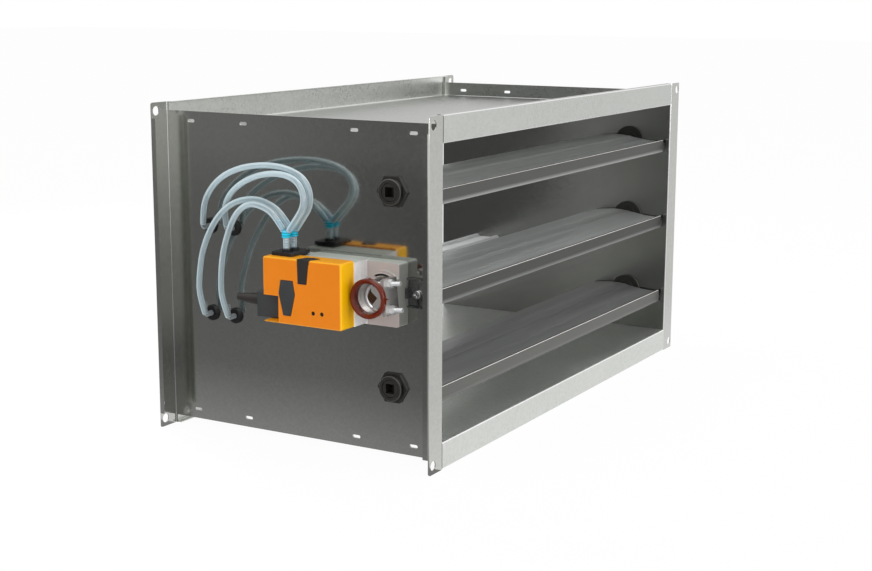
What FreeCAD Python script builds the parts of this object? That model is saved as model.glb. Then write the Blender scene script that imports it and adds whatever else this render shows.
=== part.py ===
import FreeCAD, Part
import math
import os

# Variable air volume box: a bent sheet duct section with three linked aerofoil blades.
# X runs with the air, and X = 0 is the face of the outlet flange. The actuator is on the -Y
# wall, Z is up, and the origin is the middle of the outlet flange. All sizes are millimetres.

V = FreeCAD.Vector
UP = V(0, 0, 1)
ACROSS = V(0, 1, 0)
ALONG = V(1, 0, 0)

# Casing
duct_width = 600.0
duct_height = 300.0
casing_length = 342.0
sheet = 1.0
bend_radius = 1.0
flange_depth = 28.0
lip_depth = 7.0
corner_tab = 16.5
corner_rounding = 4.0
corner_hole = 10.0
corner_inset = 9.0
upstand = 18.9
upstand_relief = 3.0
slot_length = 9.5
slot_width = 3.5
slot_rise = 8.7
slot_first = 33.2
slot_second = 102.1

# Blades
blade_count = 3
axis_setback = 56.6
blade_gap = 4.0
tip_gap = 0.9
strip_clearance = 0.55
blade_skin = 1.3
strip_thickness = 1.5
strip_rise = 4.0
strip_drop = 11.0
groove_width = 2.0
groove_floor = 0.6
seal_play = 0.05
seal_proud = 0.4
crown_height = 9.1
crown_nose = 2.6
crown_shoulder = 3.2
belly_depth = 8.6
tail_middle = 1.0
strip_knee = 1.0
seal_shoulder = 0.5
band_radius = 1.5
band_depth = 0.15
band_places = (0.22, 0.42, 0.62, 0.8)
offset_points = 12

# Journals and bearings
hub_tube = 8.1
spigot_radius = 6.35
spigot_flat = 5.15
spigot_length = 30.0
spigot_play = 0.05
collar_radius = 13.0
collar_thickness = 1.3
journal_radius = 8.95
journal_play = 0.05
journal_proud = 7.5
socket_size = 10.0
socket_depth = 11.5
bearing_disc = 20.5
bearing_disc_thickness = 2.5
bearing_disc_round = 0.6
sleeve_radius = 11.0
sleeve_proud = 5.5
sleeve_play = 0.1
nut_across_flats = 30.0
nut_thickness = 3.5
nut_boss = 13.25
nut_proud = 8.0
nut_play = 0.05
nut_lip = 9.4
nut_chamfer = 0.8
middle_nut_turn = 30.0

# Drive linkage outside the far wall
square_shaft = 9.9
shaft_insert = 11.0
crank_start = 8.3
crank_plate = 4.0
crank_hub = 11.0
crank_hub_length = 9.7
crank_reach = 30.0
crank_angle = 45.0
crank_eye = 6.5
crank_bore = 10.05
pin_radius = 2.97
pin_play = 0.08
pin_head = 5.0
pin_head_thickness = 2.5
pin_gap = 0.3
tie_thickness = 3.0
tie_width = 14.0
tie_play = 0.03
clip_radius = 5.0
clip_thickness = 0.8
clip_groove = 0.7
clip_play = 0.05
clip_mouth = 4.0
pin_tail = 1.2
set_screw = 2.0
set_screw_length = 7.5
set_screw_play = 0.05
set_screw_key = 1.0

# Measuring bars and taps
bar_rear = 285.5
bar_front = 254.5
bar_upper = 48.0
bar_lower = -47.0
bar_tube = 4.5
bar_bore = 3.05
bar_web = 3.0
bar_end_gap = 0.3
bar_hole = 1.0
bar_hole_count = 4
screw_radius = 2.95
screw_head = 4.5
screw_head_thickness = 2.6
screw_head_round = 1.0
screw_cross = 3.2
screw_cross_width = 0.9
screw_cross_depth = 1.2
screw_reach = 12.0
screw_play = 0.15
grommet_radius = 8.0
grommet_thickness = 3.0
grommet_round = 1.2
grommet_neck = 5.0
grommet_inner = 7.0
grommet_inner_thickness = 1.4
elbow_radius = 3.0
elbow_play = 0.05
elbow_bend = 3.5
elbow_proud = 13.0
elbow_insert = 14.0
barb_radius = 2.0
barb_ridge = 2.45
barb_pitch = 3.0
tap_barb_count = 3
hose_start_rise = 4.0

# Actuator, with depths measured out from the near wall
actuator_rise = 1.0
actuator_left = 172.0
actuator_right = 39.2
actuator_step = 77.0
tray_low = -31.8
tray_high = 32.8
housing_back = 0.3
foot_left = 150.0
foot_low = -33.0
foot_high = 31.6
gear_face = 17.6
boss_radius = 24.0
boss_front = 21.0
housing_top = 40.0
housing_inset = 1.0
housing_overlap = 7.0
housing_round = 3.0
seam_depth = 27.4
seam_size = 0.6
cover_half = 33.5
cover_front = 63.0
cover_wall = 2.0
cover_round = 2.5
pocket_play = 0.5
pocket_depth = 9.0
stop_slot_radius = 19.5
stop_slot_width = 2.4
stop_slot_from = 62.0
stop_slot_to = 118.0
stop_slot_depth = 6.0

# Buttons, lenses and what is under the cover
button_play = 0.3
button_proud = 0.4
button_round = 1.0
catch_reach = 1.2
catch_gap = 0.1
catch_thickness = 1.4
hex_centre = 142.5
hex_top = 12.2
hex_top_half = 7.2
hex_waist = -1.5
hex_waist_half = 9.7
hex_bottom = -23.4
hex_bottom_half = 4.4
hex_travel = 1.5
plunger_radius = 3.0
plunger_height = -5.0
release_left = 129.5
release_right = 115.8
release_low = 10.3
release_low_left = 128.9
release_low_right = 118.9
release_skirt = 3.0
release_travel = 3.0
release_catch_height = 10.0
wing_left_inset = 2.0
wing_left_reach = 11.5
wing_point_inset = 9.5
wing_reach = 15.0
wing_right_outset = 5.3
wing_right_reach = 10.5
wing_thickness = 2.0
lens_radius = 2.1
lens_play = 0.1
lens_sink = 0.5
lens_back = 0.6
lens_rim = 0.8
lens_places = (111.1, 100.8)
lens_height = -17.8
board_rise = 4.0
board_thickness = 1.6
board_gap = 0.3
sensor_left = 112.0
sensor_right = 94.0
sensor_low = -4.0
sensor_high = 18.0
sensor_thickness = 9.0
port_radius = 2.0
port_proud = 4.0
port_spacing = 12.0

# Cable connector
plug_left = 188.0
plug_right = 153.2
plug_low = -31.0
plug_high = -4.8
plug_back = 27.0
plug_front = 51.0
plug_play = 0.3
plug_round = 1.2
notch_wall = 0.7
relief_length = 29.0
relief_base = 6.6
relief_tip = 3.9
relief_height = -14.8
relief_depth = 43.0
relief_collar = 1.6
relief_collar_radius = 7.2
cable_bore = 2.6

# Nozzles, stubs and Y connectors
hose_radius = 3.25
front_y = (155.7, 43.7)
rear_y = (154.8, 32.4)
block_left = 167.5
block_right = 141.5
block_back = 22.0
block_front = 54.5
block_height = 3.5
block_round = 2.0
block_foot = 2.0
nozzle_collar = 5.2
nozzle_collar_height = 2.5
seat_play = 0.3
stub_outer = 3.3
stub_inner = 2.6
stub_length = 11.0
y_collar = 4.5
y_collar_height = 6.0
y_branch_angle = 40.0
y_turn = 8.0
y_branch_start = 2.8
y_branch_length = 17.5
y_collar_round = 0.8
y_stem_pitch = 2.0
y_barb_first = 4.5
y_barb_step = 2.2
y_barb_length = 1.7
y_barb_count = 6

# Shaft clamp and position ring
drive_radius = 6.0
drive_end = 40.0
spindle_radius = 13.0
spindle_play = 0.08
spindle_bore = 7.0
hub_disc = 17.5
hub_disc_thickness = 3.0
hub_lift = 0.3
cup_outer = 17.5
cup_inner = 15.5
cup_end = 42.1
hub_face = 36.5
socket_across = 15.0
loop_play = 0.4
upright_from = 14.0
upright_end = 45.5
upright_thickness = 4.0
upright_half = 18.0
u_bolt_radius = 2.2
u_bolt_spread = 13.0
u_bolt_depth = 36.0
u_bolt_reach = 31.5
u_bolt_play = 0.25
clamp_nut = 4.6
clamp_nut_thickness = 4.5
jaw_half = 10.4
jaw_from = 2.0
jaw_back = 25.5
jaw_front = 44.0
jaw_teeth = 4
jaw_tooth = 0.7
jaw_play = 0.3
clamp_turn = 5.0
ring_outer = 20.0
ring_inner = 15.2
ring_thickness = 9.0
ring_round = 2.2
pointer_reach = 5.5
pointer_width = 4.0
pointer_thickness = 2.0
shaft_chamfer = 0.8

# Torque bracket
bracket_left = 38.4
bracket_right = 22.0
bracket_low = -14.4
bracket_high = 15.4
bracket_sheet = 1.5
bracket_rib = 4.5
tongue_depth = 5.2
tongue_half = 5.0
tongue_reach = 2.8
tongue_play = 0.3
bracket_screw = 2.4
bracket_screw_head = 4.5
bracket_screw_reach = 3.0
bracket_screw_height = -0.9
bracket_screw_back = 27.6

# Hose routes: distance behind the outlet face, distance off the near wall, and height
rear_upper_route = [(151.5, 32.7, 58.5), (141, 35, 71), (131.5, 37.5, 82.5), (129, 39, 95),
                    (133.5, 38.5, 107), (144.5, 37, 115.5), (165, 34, 121), (192, 30.5, 121.5),
                    (222, 27, 117), (250, 23, 106.5), (271, 18.5, 90), (283.5, 15, 71),
                    (285.5, 13, 52)]
front_upper_route = [(152.4, 44.0, 58.5), (142, 46, 71), (132.5, 47.5, 83), (131, 47.5, 95.5),
                     (137.5, 45.5, 106.5), (150, 42.5, 113), (170, 38.5, 115), (195, 33, 111.5),
                     (221, 28, 102), (243, 22, 87), (255, 16.5, 69), (254.5, 13, 52)]
rear_lower_route = [(158.1, 32.1, 58.5), (168, 31, 70), (181, 29.5, 80), (205.5, 29, 87),
                    (236, 28, 79.5), (260, 26, 59), (279, 23, 27), (287.5, 19, -2),
                    (291, 16, -24), (285.5, 13, -43)]
front_lower_route = [(159.0, 43.4, 58.5), (169, 41.5, 69.5), (181.5, 38.5, 78), (205, 37, 83),
                     (224.5, 34, 71.5), (238.5, 29.5, 52), (251.5, 24.5, 24.5), (258, 20, -2.5),
                     (261, 16, -25.5), (254.5, 13, -43)]

# Places that follow from the sizes above
half_width = duct_width / 2
half_height = duct_height / 2
wall_face = half_width + sheet
flange_side = half_width + flange_depth
flange_top = half_height + flange_depth
blade_pitch = duct_height / blade_count
blade_heights = [(i - (blade_count - 1) / 2) * blade_pitch for i in range(blade_count)]
blade_end = half_width - blade_gap
blade_front = blade_pitch / 2 - tip_gap
blade_names = ("bottom", "middle", "top")
spigot_bore = spigot_radius + spigot_play
journal_end = wall_face + journal_proud
bearing_bore = journal_radius + journal_play
sleeve_hole = sleeve_radius + sleeve_play
pin_offset = V(-crank_reach * math.sin(math.radians(crank_angle)), 0,
               -crank_reach * math.cos(math.radians(crank_angle)))
crank_back = wall_face + crank_start
crank_front = crank_back + crank_plate
tie_back = crank_front + pin_gap
tie_front = tie_back + tie_thickness
clip_back = tie_front + pin_gap
pin_end = clip_back + clip_thickness + pin_tail
pin_bore = pin_radius + pin_play
cover_low = actuator_rise - cover_half
cover_high = actuator_rise + cover_half
nozzle_top = cover_high + block_height + nozzle_collar_height
stub_end = nozzle_top + stub_length
board_depth = housing_top + board_rise
cover_inside = cover_front - cover_wall


def block(x0, x1, y0, y1, z0, z1):
    """Box between two corners, given in any order."""
    xs, ys, zs = sorted((x0, x1)), sorted((y0, y1)), sorted((z0, z1))
    return Part.makeBox(xs[1] - xs[0], ys[1] - ys[0], zs[1] - zs[0], V(xs[0], ys[0], zs[0]))


def near_block(x0, x1, depth0, depth1, z0, z1):
    """Box outside the near wall: x is counted back from the outlet, depth out from the wall."""
    return block(-x0, -x1, -wall_face - depth0, -wall_face - depth1, z0, z1)


def rod_y(radius, y0, y1, x=0.0, z=0.0):
    """Round bar along Y."""
    return Part.makeCylinder(radius, abs(y1 - y0), V(x, min(y0, y1), z), ACROSS)


def near_rod(radius, depth0, depth1, x, z):
    """Round bar that stands out from the near wall; x is counted back from the outlet."""
    return rod_y(radius, -wall_face - depth0, -wall_face - depth1, -x, z)


def plane_face(points):
    """Flat face with straight sides."""
    return Part.Face(Part.makePolygon(list(points) + [points[0]]))


def prism_y(points, y0, y1):
    """Straight-sided outline of (x, z) points, extruded along Y."""
    return plane_face([V(x, y0, z) for x, z in points]).extrude(V(0, y1 - y0, 0))


def near_prism(points, depth0, depth1):
    """Outline of (x back from the outlet, z) points that stands out from the near wall."""
    return prism_y([(-x, z) for x, z in points], -wall_face - depth0, -wall_face - depth1)


def edges_along(shape, direction, spots):
    """Edges parallel to direction that pass through one of the spots."""
    found = []
    for edge in shape.Edges:
        if edge.Curve.TypeId != "Part::GeomLine":
            continue
        if abs(abs(edge.Curve.Direction.dot(direction)) - 1) > 1e-6:
            continue
        start = edge.Vertexes[0].Point
        for spot in spots:
            if (start - spot).cross(direction).Length < 1e-4:
                found.append(edge)
                break
    return found


def round_bends(shape, direction, outer_spots, inner_spots):
    """Round the outside and inside corners of a bent sheet."""
    shape = shape.makeFillet(bend_radius + sheet, edges_along(shape, direction, outer_spots))
    return shape.makeFillet(bend_radius, edges_along(shape, direction, inner_spots))


def mirror_across(shape):
    """The same piece on the other side of the duct."""
    return shape.mirror(V(0, 0, 0), ACROSS)


def mirror_height(shape):
    """The same piece below the middle of the duct."""
    return shape.mirror(V(0, 0, 0), UP)


def fuse(parts):
    """One solid from several that touch or overlap."""
    return parts[0].multiFuse(parts[1:]).removeSplitter()


def save(name, shape):
    """Write one node."""
    shape.exportStep(os.path.join("parts", name + ".step"))


def upstand_slots():
    """Cutters for the long holes in the upstands, all four edges of both sides."""
    cutters = []
    radius = slot_width / 2
    reach = slot_length / 2 - radius
    height = half_height + slot_rise
    for back in (slot_first, slot_second, casing_length - slot_second, casing_length - slot_first):
        for side in (-1, 1):
            for level in (-height, height):
                y0, y1 = side * (half_width - 2 * sheet), side * (wall_face + sheet)
                cutters.append(block(-back - reach, -back + reach, y0, y1,
                                     level - radius, level + radius))
                for end in (-back - reach, -back + reach):
                    cutters.append(rod_y(radius, y0, y1, end, level))
    return Part.makeCompound(cutters)


def corner_cutters():
    """Cutters that round one flange's corner and drill its hole, at +Y and +Z, at any X."""
    reach = casing_length + 2 * sheet
    square = block(sheet, -reach, flange_side - corner_rounding, flange_side + sheet,
                   flange_top - corner_rounding, flange_top + sheet)
    centre = V(-reach, flange_side - corner_rounding, flange_top - corner_rounding)
    round_off = Part.makeCylinder(corner_rounding, reach + 2 * sheet, centre, ALONG)
    hole_centre = V(-reach, flange_side - corner_inset, flange_top - corner_inset)
    hole = Part.makeCylinder(corner_hole / 2, reach + 2 * sheet, hole_centre, ALONG)
    return [square.cut(round_off), hole]


def side_wall():
    """The wall at +Y with both end flanges and their lips, bent from one sheet."""
    rear = -casing_length
    outline = [(0, half_width), (0, flange_side), (-lip_depth, flange_side),
               (-lip_depth, flange_side - sheet), (-sheet, flange_side - sheet),
               (-sheet, wall_face), (rear + sheet, wall_face),
               (rear + sheet, flange_side - sheet), (rear + lip_depth, flange_side - sheet),
               (rear + lip_depth, flange_side), (rear, flange_side), (rear, half_width)]
    face = plane_face([V(x, y, -flange_top) for x, y in outline])
    wall = face.extrude(V(0, 0, 2 * flange_top))
    outer = [V(x, y, 0) for x in (0, rear) for y in (half_width, flange_side)]
    inner = [V(x, y, 0) for x in (-sheet, rear + sheet) for y in (wall_face, flange_side - sheet)]
    wall = round_bends(wall, UP, outer, inner)
    cutters = []
    top = half_height + upstand
    over = flange_top + sheet
    for low, high in ((top, over), (-over, -top)):
        cutters.append(block(-upstand_relief, rear + upstand_relief,
                             half_width - sheet, wall_face + sheet, low, high))
    tab = flange_top - corner_tab
    for low, high in ((tab, over), (-over, -tab)):
        for x0, x1 in ((-sheet, -lip_depth - sheet), (rear + sheet, rear + lip_depth + sheet)):
            cutters.append(block(x0, x1, wall_face + bend_radius, flange_side + sheet, low, high))
    for cutter in corner_cutters():
        cutters += [cutter, mirror_height(cutter)]
    for z in blade_heights:
        cutters.append(rod_y(sleeve_hole, half_width - sheet, wall_face + sheet, -axis_setback, z))
    return wall.cut(cutters + [upstand_slots()])


def tap_places():
    """The four taps as (distance behind the outlet, height)."""
    return [(back, height) for height in (bar_upper, bar_lower) for back in (bar_rear, bar_front)]


def far_side_wall():
    """Far wall, with holes for the measuring bars' screws."""
    holes = [rod_y(screw_radius + screw_play, half_width - sheet, wall_face + sheet, -back, z)
             for back, z in tap_places()]
    return side_wall().cut(holes)


def near_side_wall():
    """Near wall, with the tap grommets' holes and the torque bracket's screw hole."""
    holes = [near_rod(grommet_neck + elbow_play, -2 * sheet, sheet, back, z)
             for back, z in tap_places()]
    holes.append(near_rod(bracket_screw + screw_play, -2 * sheet, sheet,
                          bracket_screw_back, bracket_screw_height))
    return mirror_across(side_wall()).cut(holes)


def top_panel():
    """Top panel with end flanges, lips and turned-up sides, bent from one sheet."""
    rear = -casing_length
    base = half_height
    outline = [(0, base), (0, flange_top), (-lip_depth, flange_top),
               (-lip_depth, flange_top - sheet), (-sheet, flange_top - sheet),
               (-sheet, base + sheet), (rear + sheet, base + sheet),
               (rear + sheet, flange_top - sheet), (rear + lip_depth, flange_top - sheet),
               (rear + lip_depth, flange_top), (rear, flange_top), (rear, base)]
    panel = prism_y(outline, -half_width, half_width)
    outer = [V(x, 0, z) for x in (0, rear) for z in (base, flange_top)]
    inner = [V(x, 0, z) for x in (-sheet, rear + sheet) for z in (base + sheet, flange_top - sheet)]
    panel = round_bends(panel, ACROSS, outer, inner)
    sides = [block(-upstand_relief, rear + upstand_relief, side * (half_width - sheet),
                   side * half_width, base, base + upstand) for side in (-1, 1)]
    panel = fuse([panel] + sides)
    creases = [V(0, side * (half_width - sheet), base + sheet) for side in (-1, 1)]
    panel = panel.makeFillet(bend_radius, edges_along(panel, ALONG, creases))
    return panel.cut(upstand_slots())


def blade_skins():
    """Outline curves of the blade's section about its axis: crown, tail, belly and front."""
    front = blade_front - strip_thickness - groove_width
    crown = Part.BSplineCurve()
    crown.interpolate([V(front, 0, crown_nose), V(0.62 * blade_front, 0, crown_shoulder),
                       V(0.16 * blade_front, 0, 0.71 * crown_height),
                       V(-0.2 * blade_front, 0, crown_height),
                       V(-0.61 * blade_front, 0, 0.92 * crown_height),
                       V(-0.94 * blade_front, 0, 0.7 * crown_height)])
    tail_top, tail_low = crown.EndPoint, V(-0.95 * blade_front, 0, -0.5 * belly_depth)
    tail = Part.Arc(tail_top, V(-blade_front, 0, tail_middle), tail_low)
    front_low = V(front, 0, -0.4 * belly_depth)
    belly = Part.Arc(tail_low, V(-0.2 * blade_front, 0, -belly_depth), front_low)
    nose = Part.LineSegment(front_low, crown.StartPoint)
    return crown, tail, belly, nose


def journal_spigot(radius, flat, y0, y1):
    """Round bar with two flats, which turns the blade."""
    return rod_y(radius, y0, y1).common(block(-radius, radius, y0, y1, -flat, flat))


def inset_wire(wire, inset):
    """Closed wire inside another one; its free curve runs through points of the true offset."""
    edges = []
    for edge in wire.makeOffset2D(-inset).Edges:
        if edge.Curve.TypeId == "Part::GeomOffsetCurve":
            curve = Part.BSplineCurve()
            curve.interpolate(edge.discretize(offset_points))
            edge = curve.toShape()
        edges.append(edge)
    return Part.Wire(Part.sortEdges(edges)[0])


def blade_length_of(wire):
    """Solid as long as the blade, from a closed wire in the XZ plane."""
    face = Part.Face(wire)
    face.translate(V(0, -blade_end, 0))
    return face.extrude(V(0, 2 * blade_end, 0))


def blade():
    """Hollow aerofoil blade with its front strip and seal groove, on its own axis."""
    crown, tail, belly, nose = blade_skins()
    outline = Part.Wire([curve.toShape() for curve in (crown, tail, belly, nose)])
    skin = blade_length_of(outline).cut(blade_length_of(inset_wire(outline, blade_skin)))
    hub = rod_y(hub_tube, -blade_end, blade_end)
    strip_back = blade_front - strip_thickness
    floor = block(strip_back - groove_width - blade_skin / 2, strip_back, -blade_end, blade_end,
                  -0.4 * belly_depth, groove_floor)
    limit = blade_pitch / 2 - strip_clearance
    foot = math.sqrt(limit ** 2 - strip_drop ** 2)
    strip = prism_y([(strip_back, strip_rise), (blade_front, strip_rise),
                     (blade_front, -strip_knee), (foot, -strip_drop),
                     (foot - strip_thickness, -strip_drop), (strip_back, -strip_knee)],
                    -blade_end, blade_end)
    body = fuse([skin, hub, floor, strip])
    cutters = [journal_spigot(spigot_bore, spigot_flat + spigot_play, -blade_end - 1, blade_end + 1)]
    span = crown.LastParameter - crown.FirstParameter
    for place in band_places:
        spot = crown.value(crown.FirstParameter + place * span)
        cutters.append(rod_y(band_radius, -blade_end - 1, blade_end + 1,
                             spot.x, spot.z + band_radius - band_depth))
    return body.cut(cutters)


def blade_seal():
    """Sealing strip in the groove behind the blade's front strip."""
    low = blade_front - strip_thickness - groove_width + seal_play
    high = blade_front - strip_thickness - seal_play
    middle = (low + high) / 2
    shoulder = strip_rise - seal_shoulder
    sides = [Part.LineSegment(V(low, 0, shoulder), V(low, 0, groove_floor + seal_play)),
             Part.LineSegment(V(low, 0, groove_floor + seal_play),
                              V(high, 0, groove_floor + seal_play)),
             Part.LineSegment(V(high, 0, groove_floor + seal_play), V(high, 0, shoulder)),
             Part.Arc(V(high, 0, shoulder), V(middle, 0, strip_rise + seal_proud),
                      V(low, 0, shoulder))]
    face = Part.Face(Part.Wire([side.toShape() for side in sides]))
    face.translate(V(0, -blade_end, 0))
    return face.extrude(V(0, 2 * blade_end, 0))


def journal():
    """Turning core at +Y: spigot in the blade, collar, and barrel with a square socket."""
    spigot = journal_spigot(spigot_radius, spigot_flat, blade_end - spigot_length, blade_end)
    collar = rod_y(collar_radius, blade_end, blade_end + collar_thickness)
    barrel = rod_y(journal_radius, blade_end + collar_thickness, journal_end)
    half = socket_size / 2
    socket = block(-half, half, journal_end - socket_depth, journal_end + 1, -half, half)
    return fuse([spigot, collar, barrel]).cut(socket)


def bearing_flange():
    """Disc inside the duct with the sleeve that passes through the wall, at +Y."""
    disc = rod_y(bearing_disc, half_width - bearing_disc_thickness, half_width)
    rims = [disc.Edges[i] for i in rim_edges(disc, half_width - bearing_disc_thickness)]
    disc = disc.makeFillet(bearing_disc_round, rims)
    sleeve = rod_y(sleeve_radius, half_width, wall_face + sleeve_proud)
    bore = rod_y(bearing_bore, half_width - 2 * bearing_disc_thickness, journal_end)
    return fuse([disc, sleeve]).cut(bore)


def rim_edges(shape, y):
    """Indexes of the round edges that lie at one height along Y."""
    return [i for i, edge in enumerate(shape.Edges)
            if edge.Closed and abs(edge.CenterOfMass.y - y) < 1e-4 and len(edge.Vertexes) == 1
            and edge.Curve.TypeId == "Part::GeomCircle"]


def hexagon_points(across_flats, turn=0.0):
    """Corners of a hexagon as (x, z) points, the first turned from +X."""
    corner = across_flats / math.sqrt(3)
    angles = [math.radians(60 * i + turn) for i in range(6)]
    return [(corner * math.cos(angle), corner * math.sin(angle)) for angle in angles]


def bearing_nut(turn=0.0):
    """Hexagon with a round boss that closes on the sleeve, outside the wall at +Y."""
    hexagon = prism_y(hexagon_points(nut_across_flats, turn), wall_face,
                      wall_face + nut_thickness)
    boss = rod_y(nut_boss, wall_face, wall_face + nut_proud)
    rims = [boss.Edges[i] for i in rim_edges(boss, wall_face + nut_proud)]
    boss = boss.makeChamfer(nut_chamfer, rims)
    seat = wall_face + sleeve_proud + nut_play
    thread = rod_y(sleeve_radius + nut_play, wall_face - 1, seat)
    lip = rod_y(nut_lip, seat - 1, wall_face + nut_proud + 1)
    return fuse([hexagon, boss]).cut([thread, lip])


def link_plate(far, root_radius, eye_radius, y0, y1):
    """Flat link around the axis and around a far point: the hull of two circles."""
    distance = math.hypot(far.x, far.z)
    heading = math.atan2(far.z, far.x)
    spread = math.acos((root_radius - eye_radius) / distance)
    points = []
    for sign, order in ((1, (0, 1)), (-1, (1, 0))):
        ends = [(0, 0, root_radius), (far.x, far.z, eye_radius)]
        for i in order:
            x, z, radius = ends[i]
            angle = heading + sign * spread
            points.append((x + radius * math.cos(angle), z + radius * math.sin(angle)))
    return fuse([prism_y(points, y0, y1), rod_y(root_radius, y0, y1),
                 rod_y(eye_radius, y0, y1, far.x, far.z)])


def crank():
    """Crank on the link shaft: plate, hub with a square bore, eye and set screw hole."""
    plate = link_plate(pin_offset, crank_hub, crank_eye, crank_back, crank_front)
    hub = rod_y(crank_hub, crank_back, crank_back + crank_hub_length)
    half = crank_bore / 2
    bore = block(-half, half, crank_back - 1, crank_back + crank_hub_length + 1, -half, half)
    eye = rod_y(pin_bore, crank_back - 1, crank_front + 1, pin_offset.x, pin_offset.z)
    tapped = Part.makeCylinder(set_screw + set_screw_play, crank_hub, screw_start(), ALONG)
    return fuse([plate, hub]).cut([bore, eye, tapped])


def screw_start():
    """Point where the set screw bears on the link shaft."""
    middle = (crank_front + crank_back + crank_hub_length) / 2
    return V(square_shaft / 2, middle, 0)


def crank_screw():
    """Set screw with a socket for its key."""
    screw = Part.makeCylinder(set_screw, set_screw_length, screw_start(), ALONG)
    socket = Part.makeCylinder(set_screw_key, set_screw_length / 3,
                               screw_start() + ALONG * (set_screw_length * 2 / 3 + 0.01), ALONG)
    return screw.cut(socket)


def link_shaft():
    """Square shaft from the far journal's socket through the crank."""
    half = square_shaft / 2
    return block(-half, half, journal_end - shaft_insert, crank_back + crank_hub_length,
                 -half, half)


def tie_bar():
    """Bar that joins the three cranks outside the far wall."""
    x = -axis_setback + pin_offset.x
    heights = [z + pin_offset.z for z in blade_heights]
    half = tie_width / 2
    bar = block(x - half, x + half, tie_back, tie_front, heights[0], heights[-1])
    ends = [rod_y(half, tie_back, tie_front, x, z) for z in (heights[0], heights[-1])]
    holes = [rod_y(pin_radius + tie_play, tie_back - 1, tie_front + 1, x, z) for z in heights]
    return fuse([bar] + ends).cut(holes)


def link_pin(z):
    """Headed pin through a crank's eye and the tie bar, with a groove for its clip."""
    x = -axis_setback + pin_offset.x
    head_end = crank_back - pin_gap
    head = rod_y(pin_head, head_end - pin_head_thickness, head_end, x, z)
    shank = rod_y(pin_radius, head_end, pin_end, x, z)
    pin = fuse([head, shank])
    groove = rod_y(pin_radius + 1, clip_back, clip_back + clip_thickness, x, z)
    core = rod_y(pin_radius - clip_groove, clip_back - 1, clip_back + clip_thickness + 1, x, z)
    return pin.cut(groove.cut(core))


def link_clip(z):
    """Open retaining clip in the pin's groove."""
    x = -axis_setback + pin_offset.x
    y0, y1 = clip_back + clip_play, clip_back + clip_thickness - clip_play
    ring = rod_y(clip_radius, y0, y1, x, z)
    hole = rod_y(pin_radius - clip_groove + clip_play, y0 - 1, y1 + 1, x, z)
    mouth = block(x - clip_radius - 1, x, y0 - 1, y1 + 1, z - clip_mouth / 2, z + clip_mouth / 2)
    return ring.cut([hole, mouth])


def measuring_bar(z):
    """Averaging bar across the duct: two tubes joined by a web, drilled along their length."""
    y0 = -half_width + grommet_inner_thickness + bar_end_gap
    y1 = half_width - bar_end_gap
    tubes = [rod_y(bar_tube, y0, y1, -back, z) for back in (bar_rear, bar_front)]
    web = block(-bar_rear, -bar_front, y0, y1, z - bar_web / 2, z + bar_web / 2)
    bores = [rod_y(bar_bore, y0 - 1, y1 + 1, -back, z) for back in (bar_rear, bar_front)]
    drilled = []
    spacing = duct_width / bar_hole_count
    for i in range(bar_hole_count):
        y = -half_width + (i + 0.5) * spacing
        drilled.append(Part.makeCylinder(bar_hole, bar_tube + 1, V(-bar_rear, y, z), -ALONG))
        drilled.append(Part.makeCylinder(bar_hole, bar_tube + 1, V(-bar_front, y, z), ALONG))
    return fuse(tubes + [web]).cut(bores + drilled)


def screw_recess(y, inwards, x, z):
    """Cutter for the cross in a screw's head, from the head's face inwards."""
    y0, y1 = y - inwards, y + inwards * screw_cross_depth
    arms = []
    for across, up in ((screw_cross, screw_cross_width), (screw_cross_width, screw_cross)):
        arms.append(block(x - across, x + across, y0, y1, z - up, z + up))
    taper = Part.makeCone(1.5 * screw_cross, screw_cross / 2, screw_cross_depth + 1,
                          V(x, y0, z), ACROSS * inwards)
    return fuse(arms).common(taper)


def bar_screw(back, z):
    """Screw through the far wall into a measuring bar's tube."""
    face = wall_face + screw_head_thickness
    head = rod_y(screw_head, wall_face, face, -back, z)
    rim = [head.Edges[i] for i in rim_edges(head, face)]
    head = head.makeFillet(screw_head_round, rim)
    shank = rod_y(screw_radius, wall_face - screw_reach, wall_face, -back, z)
    return fuse([head, shank]).cut(screw_recess(face, -1, -back, z))


def tap_grommet(back, z):
    """Rubber grommet in the near wall around a tap's elbow."""
    outer = near_rod(grommet_radius, 0, grommet_thickness, back, z)
    rim = [outer.Edges[i] for i in rim_edges(outer, -wall_face - grommet_thickness)]
    outer = outer.makeFillet(grommet_round, rim)
    neck = near_rod(grommet_neck, -sheet, 0, back, z)
    inner = near_rod(grommet_inner, -sheet - grommet_inner_thickness, -sheet, back, z)
    bore = near_rod(elbow_radius + elbow_play, -4 * sheet, 2 * grommet_thickness, back, z)
    return fuse([outer, neck, inner]).cut(bore)


def barbed_stem(base, direction, radius, ridge, pitch, count):
    """Stem with a row of sawtooth ridges for a hose."""
    parts = [Part.makeCylinder(radius, pitch * count + pitch / 2, base, direction)]
    for i in range(count):
        foot = base + direction * (pitch * (i + 0.5))
        parts.append(Part.makeCone(ridge, radius, pitch * 0.75, foot, direction))
    return fuse(parts)


def tap_elbow(back, z):
    """Elbow from the measuring bar's tube through the grommet, turned up into its hose."""
    bend_start = elbow_proud - elbow_bend
    barrel = near_rod(elbow_radius, -elbow_insert, bend_start, back, z)
    disc = Part.Face(Part.Wire(Part.makeCircle(elbow_radius, V(-back, -wall_face - bend_start, z),
                                               ACROSS)))
    centre = V(-back, -wall_face - bend_start, z + elbow_bend)
    bend = disc.revolve(centre, ALONG, -90)
    base = V(-back, -wall_face - elbow_proud, z + elbow_bend)
    shoulder = Part.makeCylinder(elbow_radius, hose_start_rise - elbow_bend, base, UP)
    stem = barbed_stem(base, UP, barb_radius, barb_ridge, barb_pitch, tap_barb_count)
    return fuse([barrel, bend, shoulder, stem])


def outlet_point(point):
    """A route's point in the model's frame."""
    back, depth, height = point
    return V(-back, -wall_face - depth, height)


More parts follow.
